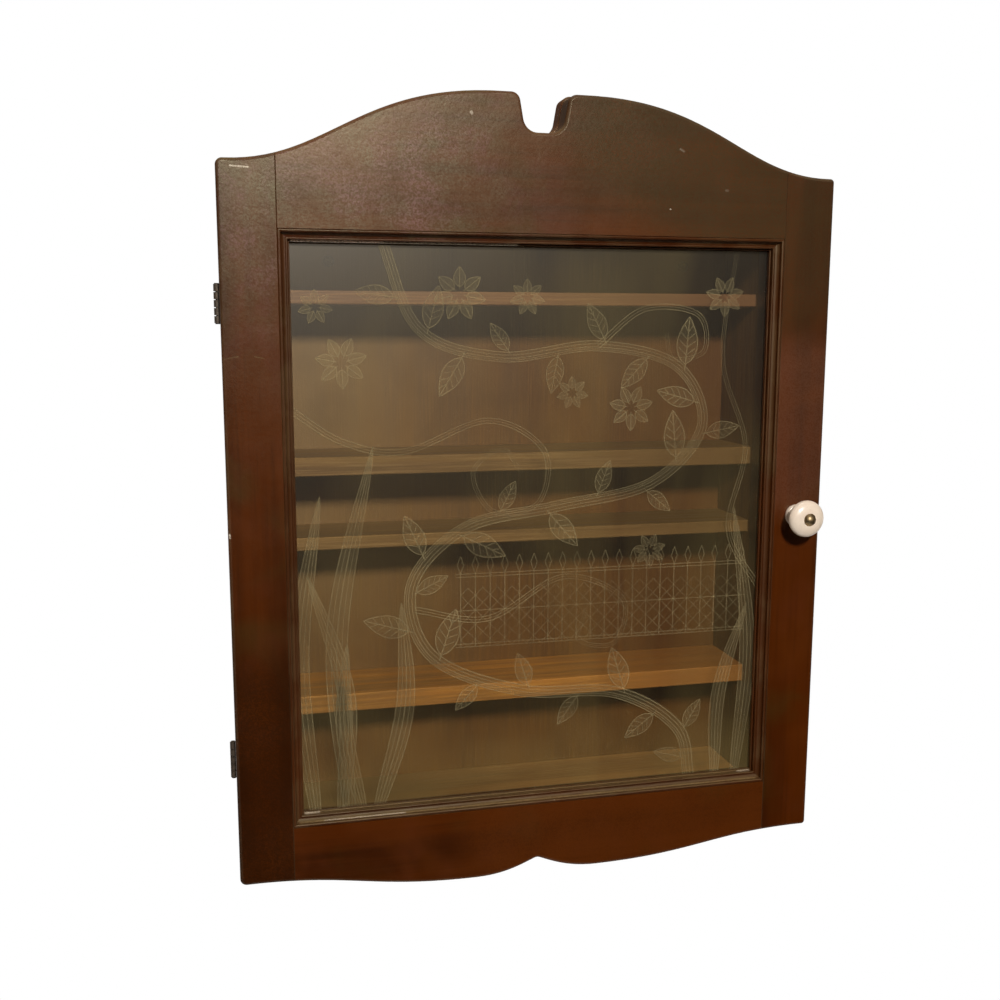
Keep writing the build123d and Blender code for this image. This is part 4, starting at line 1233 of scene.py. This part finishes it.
def weld(piece, reach=0.00001):
    """Joins the vertices that meet and turns every face outwards."""
    shell = bmesh.new()
    shell.from_mesh(piece.data)
    bmesh.ops.remove_doubles(shell, verts=shell.verts, dist=reach)
    bmesh.ops.recalc_face_normals(shell, faces=shell.faces)
    shell.to_mesh(piece.data)
    shell.free()
    for polygon in piece.data.polygons:
        polygon.use_smooth = True
    piece.data.set_sharp_from_angle(angle=math.radians(35))


class CABINET_OT_hinges(bpy.types.Operator):
    """Bronzes the hinges"""
    bl_idname = "cabinet.hinges"
    bl_label = "Hinges"

    def execute(self, context):
        hardware = context.scene.cabinet_hardware
        finish = bronze("hinge_bronze", hardware, 0.5, 0.6)
        for level in ("lower", "upper"):
            for part in ("case_leaf", "door_leaf", "pin"):
                dress(f"hinge_{level}_{part}", finish)
        return {"FINISHED"}


# Head radius, shank radius, length and body of each kind of screw, in millimetres.
SCREWS = {
    "rail_screws": (3.4, 1.75, 35.0, "case"),
    "hinge_case_screws": (2.1, 1.1, 11.0, "case"),
    "hinge_door_screws": (2.1, 1.1, 11.0, "door"),
    "catch_plate_screw": (2.4, 1.25, 10.0, "door"),
}
HINGE_SCREW_SPACING = 16.0
WALL_SCREW_HEAD = 4.5
WALL_SCREW_SHANK = 2.2
WALL_SCREW_X = 150.0


def screw_places(name, head):
    """Where each screw's head lies and which way it looks, worked out from the CAD's box."""
    low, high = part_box(name)
    quarter = math.pi / 2
    if name == "rail_screws":
        middle = (low.y + high.y) / 2
        return [((x, middle, z), turn) for x, turn in ((low.x, -quarter), (high.x, quarter))
                for z in (low.z + head, high.z - head)]
    middle = (low.x + high.x) / 2
    face, turn = (low.y, 0.0) if name == "hinge_case_screws" else (high.y, math.pi)
    if name == "catch_plate_screw":
        return [((middle, face, (low.z + high.z) / 2), turn)]
    step = HINGE_SCREW_SPACING * MM
    heights = (low.z + head, low.z + head + step, high.z - head - step, high.z - head)
    return [((middle, face, z), turn) for z in heights]


class CABINET_OT_fasteners(bpy.types.Operator):
    """Finishes the nails, pins, screws and the catch"""
    bl_idname = "cabinet.fasteners"
    bl_label = "Nails, Screws and Catch"

    def execute(self, context):
        hardware = context.scene.cabinet_hardware
        steel = aged_metal("fastener_steel", hardware.steel, hardware.steel_dull,
                           hardware.rust, 0.36)
        bronzed = bronze("screw_bronze", hardware, 0.4)
        for name in ("case_nails", "face_frame_pins", "glazing_pins", "catch_plate",
                     "catch_magnet"):
            dress(name, steel)
        chance = random.Random(7)
        for name, (head, shank, length, body) in SCREWS.items():
            shape = screw("screw_shape", head * MM, shank * MM, length * MM, hardware.slot_share)
            places = screw_places(name, head * MM)
            turns = [(0.0, chance.uniform(-1.4, 1.4), turn) for _, turn in places]
            finish = bronzed if name.startswith("hinge") else steel
            piece = repeat("slotted_" + name, shape, [spot for spot, _ in places], turns,
                           [1.0] * len(places), finish)
            weld(piece)
            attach(piece, body)
            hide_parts(name)
        return {"FINISHED"}


class CABINET_OT_wall_screws(bpy.types.Operator):
    """Puts the two round-headed screws that hold the cabinet to the wall"""
    bl_idname = "cabinet.wall_screws"
    bl_label = "Wall Screws"

    def execute(self, context):
        hardware = context.scene.cabinet_hardware
        finish = bronze("wall_screw_bronze", hardware, 0.4)
        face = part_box("back_panel")[0].y
        shape = screw("round_screw", WALL_SCREW_HEAD * MM, WALL_SCREW_SHANK * MM, -face,
                      hardware.slot_share, 0.5, 0.0)
        points = [(side * WALL_SCREW_X * MM, face, 0.0) for side in (-1, 1)]
        piece = repeat("wall_screws", shape, points, [(0.0, 0.7, 0.0), (0.0, -0.4, 0.0)],
                       [1.0, 1.0], finish)
        weld(piece)
        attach(piece, "case")
        return {"FINISHED"}


def area_lamp(name, place, target, size, level):
    """A square lamp that gives a share of full light on a face that looks at it."""
    data = bpy.data.lights.new(name, "AREA")
    data.shape = "SQUARE"
    data.size = size
    data.energy = level * math.pi ** 2 * (place - target).length ** 2
    lamp = add_object(name, data)
    lamp.location = place
    lamp.rotation_euler = (target - place).to_track_quat("-Z", "Y").to_euler()
    return lamp


# Which way the faint window lies, and how bright the room behind the cabinet is in reflections.
WINDOW_WAY = (0.55, -0.8, 0.2)
REAR_SHINE = 0.12
ROOM_TINT = (1, 0.88, 0.7)


def studio_world(level):
    """White behind the object for the eye and for glass, and a dim room for the rest,
    with a broad, faintly lit window to the right of the camera."""
    world = bpy.data.worlds.new("studio_world")
    bpy.context.scene.world = world
    world.use_nodes = True
    world.node_tree.nodes.clear()
    tree = Tree(world.node_tree)
    way = tree.add("ShaderNodeTexCoord").outputs["Generated"]
    seen, shine = ray_shares(tree, way, 0.05, 0.45)
    window = tree.vector("DOT_PRODUCT", way, Vector(WINDOW_WAY).normalized()).outputs["Value"]
    window = tree.span(window, 0.8, 0.97, 0.4 * level, 3.0 * level)
    window = tree.maths("MAXIMUM", window, tree.times(shine, REAR_SHINE))
    room = tree.add("ShaderNodeBackground", {"Color": ROOM_TINT, "Strength": window})
    white = tree.add("ShaderNodeBackground", {"Color": WHITE, "Strength": 1.0})
    tree.add("ShaderNodeOutputWorld", {"Surface": tree.blend(seen, room, white)})


def ray_shares(tree, way, low, high):
    """1 for rays from the eye or through glass, and 1 for rays off glossy faces that head for
    the back, by their way or the place they meet."""
    behind = tree.span(tree.axes(way)[1], low, high)
    rays = tree.add("ShaderNodeLightPath").outputs
    shine = tree.times(rays["Is Glossy Ray"], behind)
    return tree.maths("MAXIMUM", rays["Is Camera Ray"], rays["Is Transmission Ray"]), shine


FLOOR_REACH = 30.0


def pale_floor(height):
    """A wide pale floor that keeps shadows and is white to the eye where it's lit."""
    corners = [(x * FLOOR_REACH, y * FLOOR_REACH, height)
               for x, y in ((-1, -1), (1, -1), (1, 1), (-1, 1))]
    floor = new_mesh("floor", corners, [(0, 1, 2, 3)])
    made, tree, place = material("pale_floor")
    far = tree.span(tree.distance(place, (0.0, 0.0, height)), 0.75, 1.25)
    tone = tree.tint(tree.noise(place, 0.8), (0.78, 0.78, 0.77), (0.82, 0.82, 0.81))
    tone = tree.tint(far, tone, (0.0, 0.0, 0.0))
    seen = tree.maths("MAXIMUM", *ray_shares(tree, place, 0.2, 1.2))
    lit = tree.add("ShaderNodeBsdfDiffuse", {"Color": tone})
    level = tree.times(seen, tree.span(far, 0, 1, 0.5, 1.0))
    glow = tree.add("ShaderNodeEmission", {"Color": WHITE, "Strength": level})
    finish_surface(tree, tree.add("ShaderNodeAddShader", {0: lit, 1: glow}))
    floor.data.materials.append(made)


# Where each fill lamp stands from the cabinet's middle, in metres, and its share of the fill.
FILL_LAMPS = {
    "left_lamp": ((-2.0, 1.5, 0.3), 1.0),
    "right_lamp": ((2.0, 1.5, 0.3), 1.0),
    "back_lamp": ((0.0, 2.6, 0.4), 1.0),
    "top_lamp": ((0.0, 0.5, 2.4), 1.0),
    "low_lamp": ((0.0, 0.4, -1.3), 0.35),
}
FILL_SIZE = 1.4


class CABINET_OT_stage(bpy.types.Operator):
    """Sets the camera, the lamps, the room and the floor"""
    bl_idname = "cabinet.stage"
    bl_label = "Stage"

    def execute(self, context):
        stage = context.scene.cabinet_stage
        data = bpy.data.cameras.new("camera")
        data.lens = stage.lens
        data.sensor_width = 36.0
        data.clip_start = 0.05
        camera = add_object("camera", data)
        camera.location = stage.camera_place
        camera.rotation_euler = stage.camera_turn
        context.scene.camera = camera

        middle = Vector((0.0, DOOR_FACE, PANE_MIDDLE.z))
        bearing, height = stage.key_bearing, stage.key_height
        towards = Vector((math.sin(bearing) * math.cos(height),
                          -math.cos(bearing) * math.cos(height), math.sin(height)))
        area_lamp("key_lamp", middle + towards * stage.key_distance, middle,
                  stage.key_size, stage.key_level)
        centre = (CAD_LOW + CAD_HIGH) / 2
        for name, (spot, share) in FILL_LAMPS.items():
            lamp = area_lamp(name, centre + Vector(spot), centre, FILL_SIZE,
                             stage.fill_level * share)
            lamp.visible_glossy = name == "top_lamp"
        studio_world(stage.room_level)
        pale_floor(CAD_LOW.z - stage.floor_drop)
        context.scene.view_settings.view_transform = "Standard"
        return {"FINISHED"}


class CABINET_PT_panel(bpy.types.Panel):
    """Lists the steps that finish the cabinet, and their settings"""
    bl_idname = "CABINET_PT_panel"
    bl_label = "Wall Display Cabinet"
    bl_space_type = "VIEW_3D"
    bl_region_type = "UI"
    bl_category = "Cabinet"

    def draw(self, context):
        column = self.layout.column()
        for operator in OPERATORS:
            column.operator(operator.bl_idname)
        for name, group in SETTINGS.items():
            box = self.layout.box()
            box.label(text=group.__doc__)
            for key in group.__annotations__:
                box.prop(getattr(context.scene, name), key)


OPERATORS = (
    CABINET_OT_stained_wood, CABINET_OT_boards, CABINET_OT_glass, CABINET_OT_vine,
    CABINET_OT_reeds, CABINET_OT_blossoms, CABINET_OT_trellis, CABINET_OT_knob,
    CABINET_OT_hinges, CABINET_OT_fasteners, CABINET_OT_wall_screws, CABINET_OT_stage,
)


def register():
    for group in SETTINGS.values():
        bpy.utils.register_class(group)
    for item in (*OPERATORS, CABINET_PT_panel):
        bpy.utils.register_class(item)
    for name, group in SETTINGS.items():
        setattr(bpy.types.Scene, name, bpy.props.PointerProperty(type=group))


def unregister():
    for name in SETTINGS:
        delattr(bpy.types.Scene, name)
    for item in reversed((*SETTINGS.values(), *OPERATORS, CABINET_PT_panel)):
        bpy.utils.unregister_class(item)


def main():
    register()
    for operator in OPERATORS:
        group, name = operator.bl_idname.split(".")
        getattr(getattr(bpy.ops, group), name)()


if __name__ == "__main__":
    main()
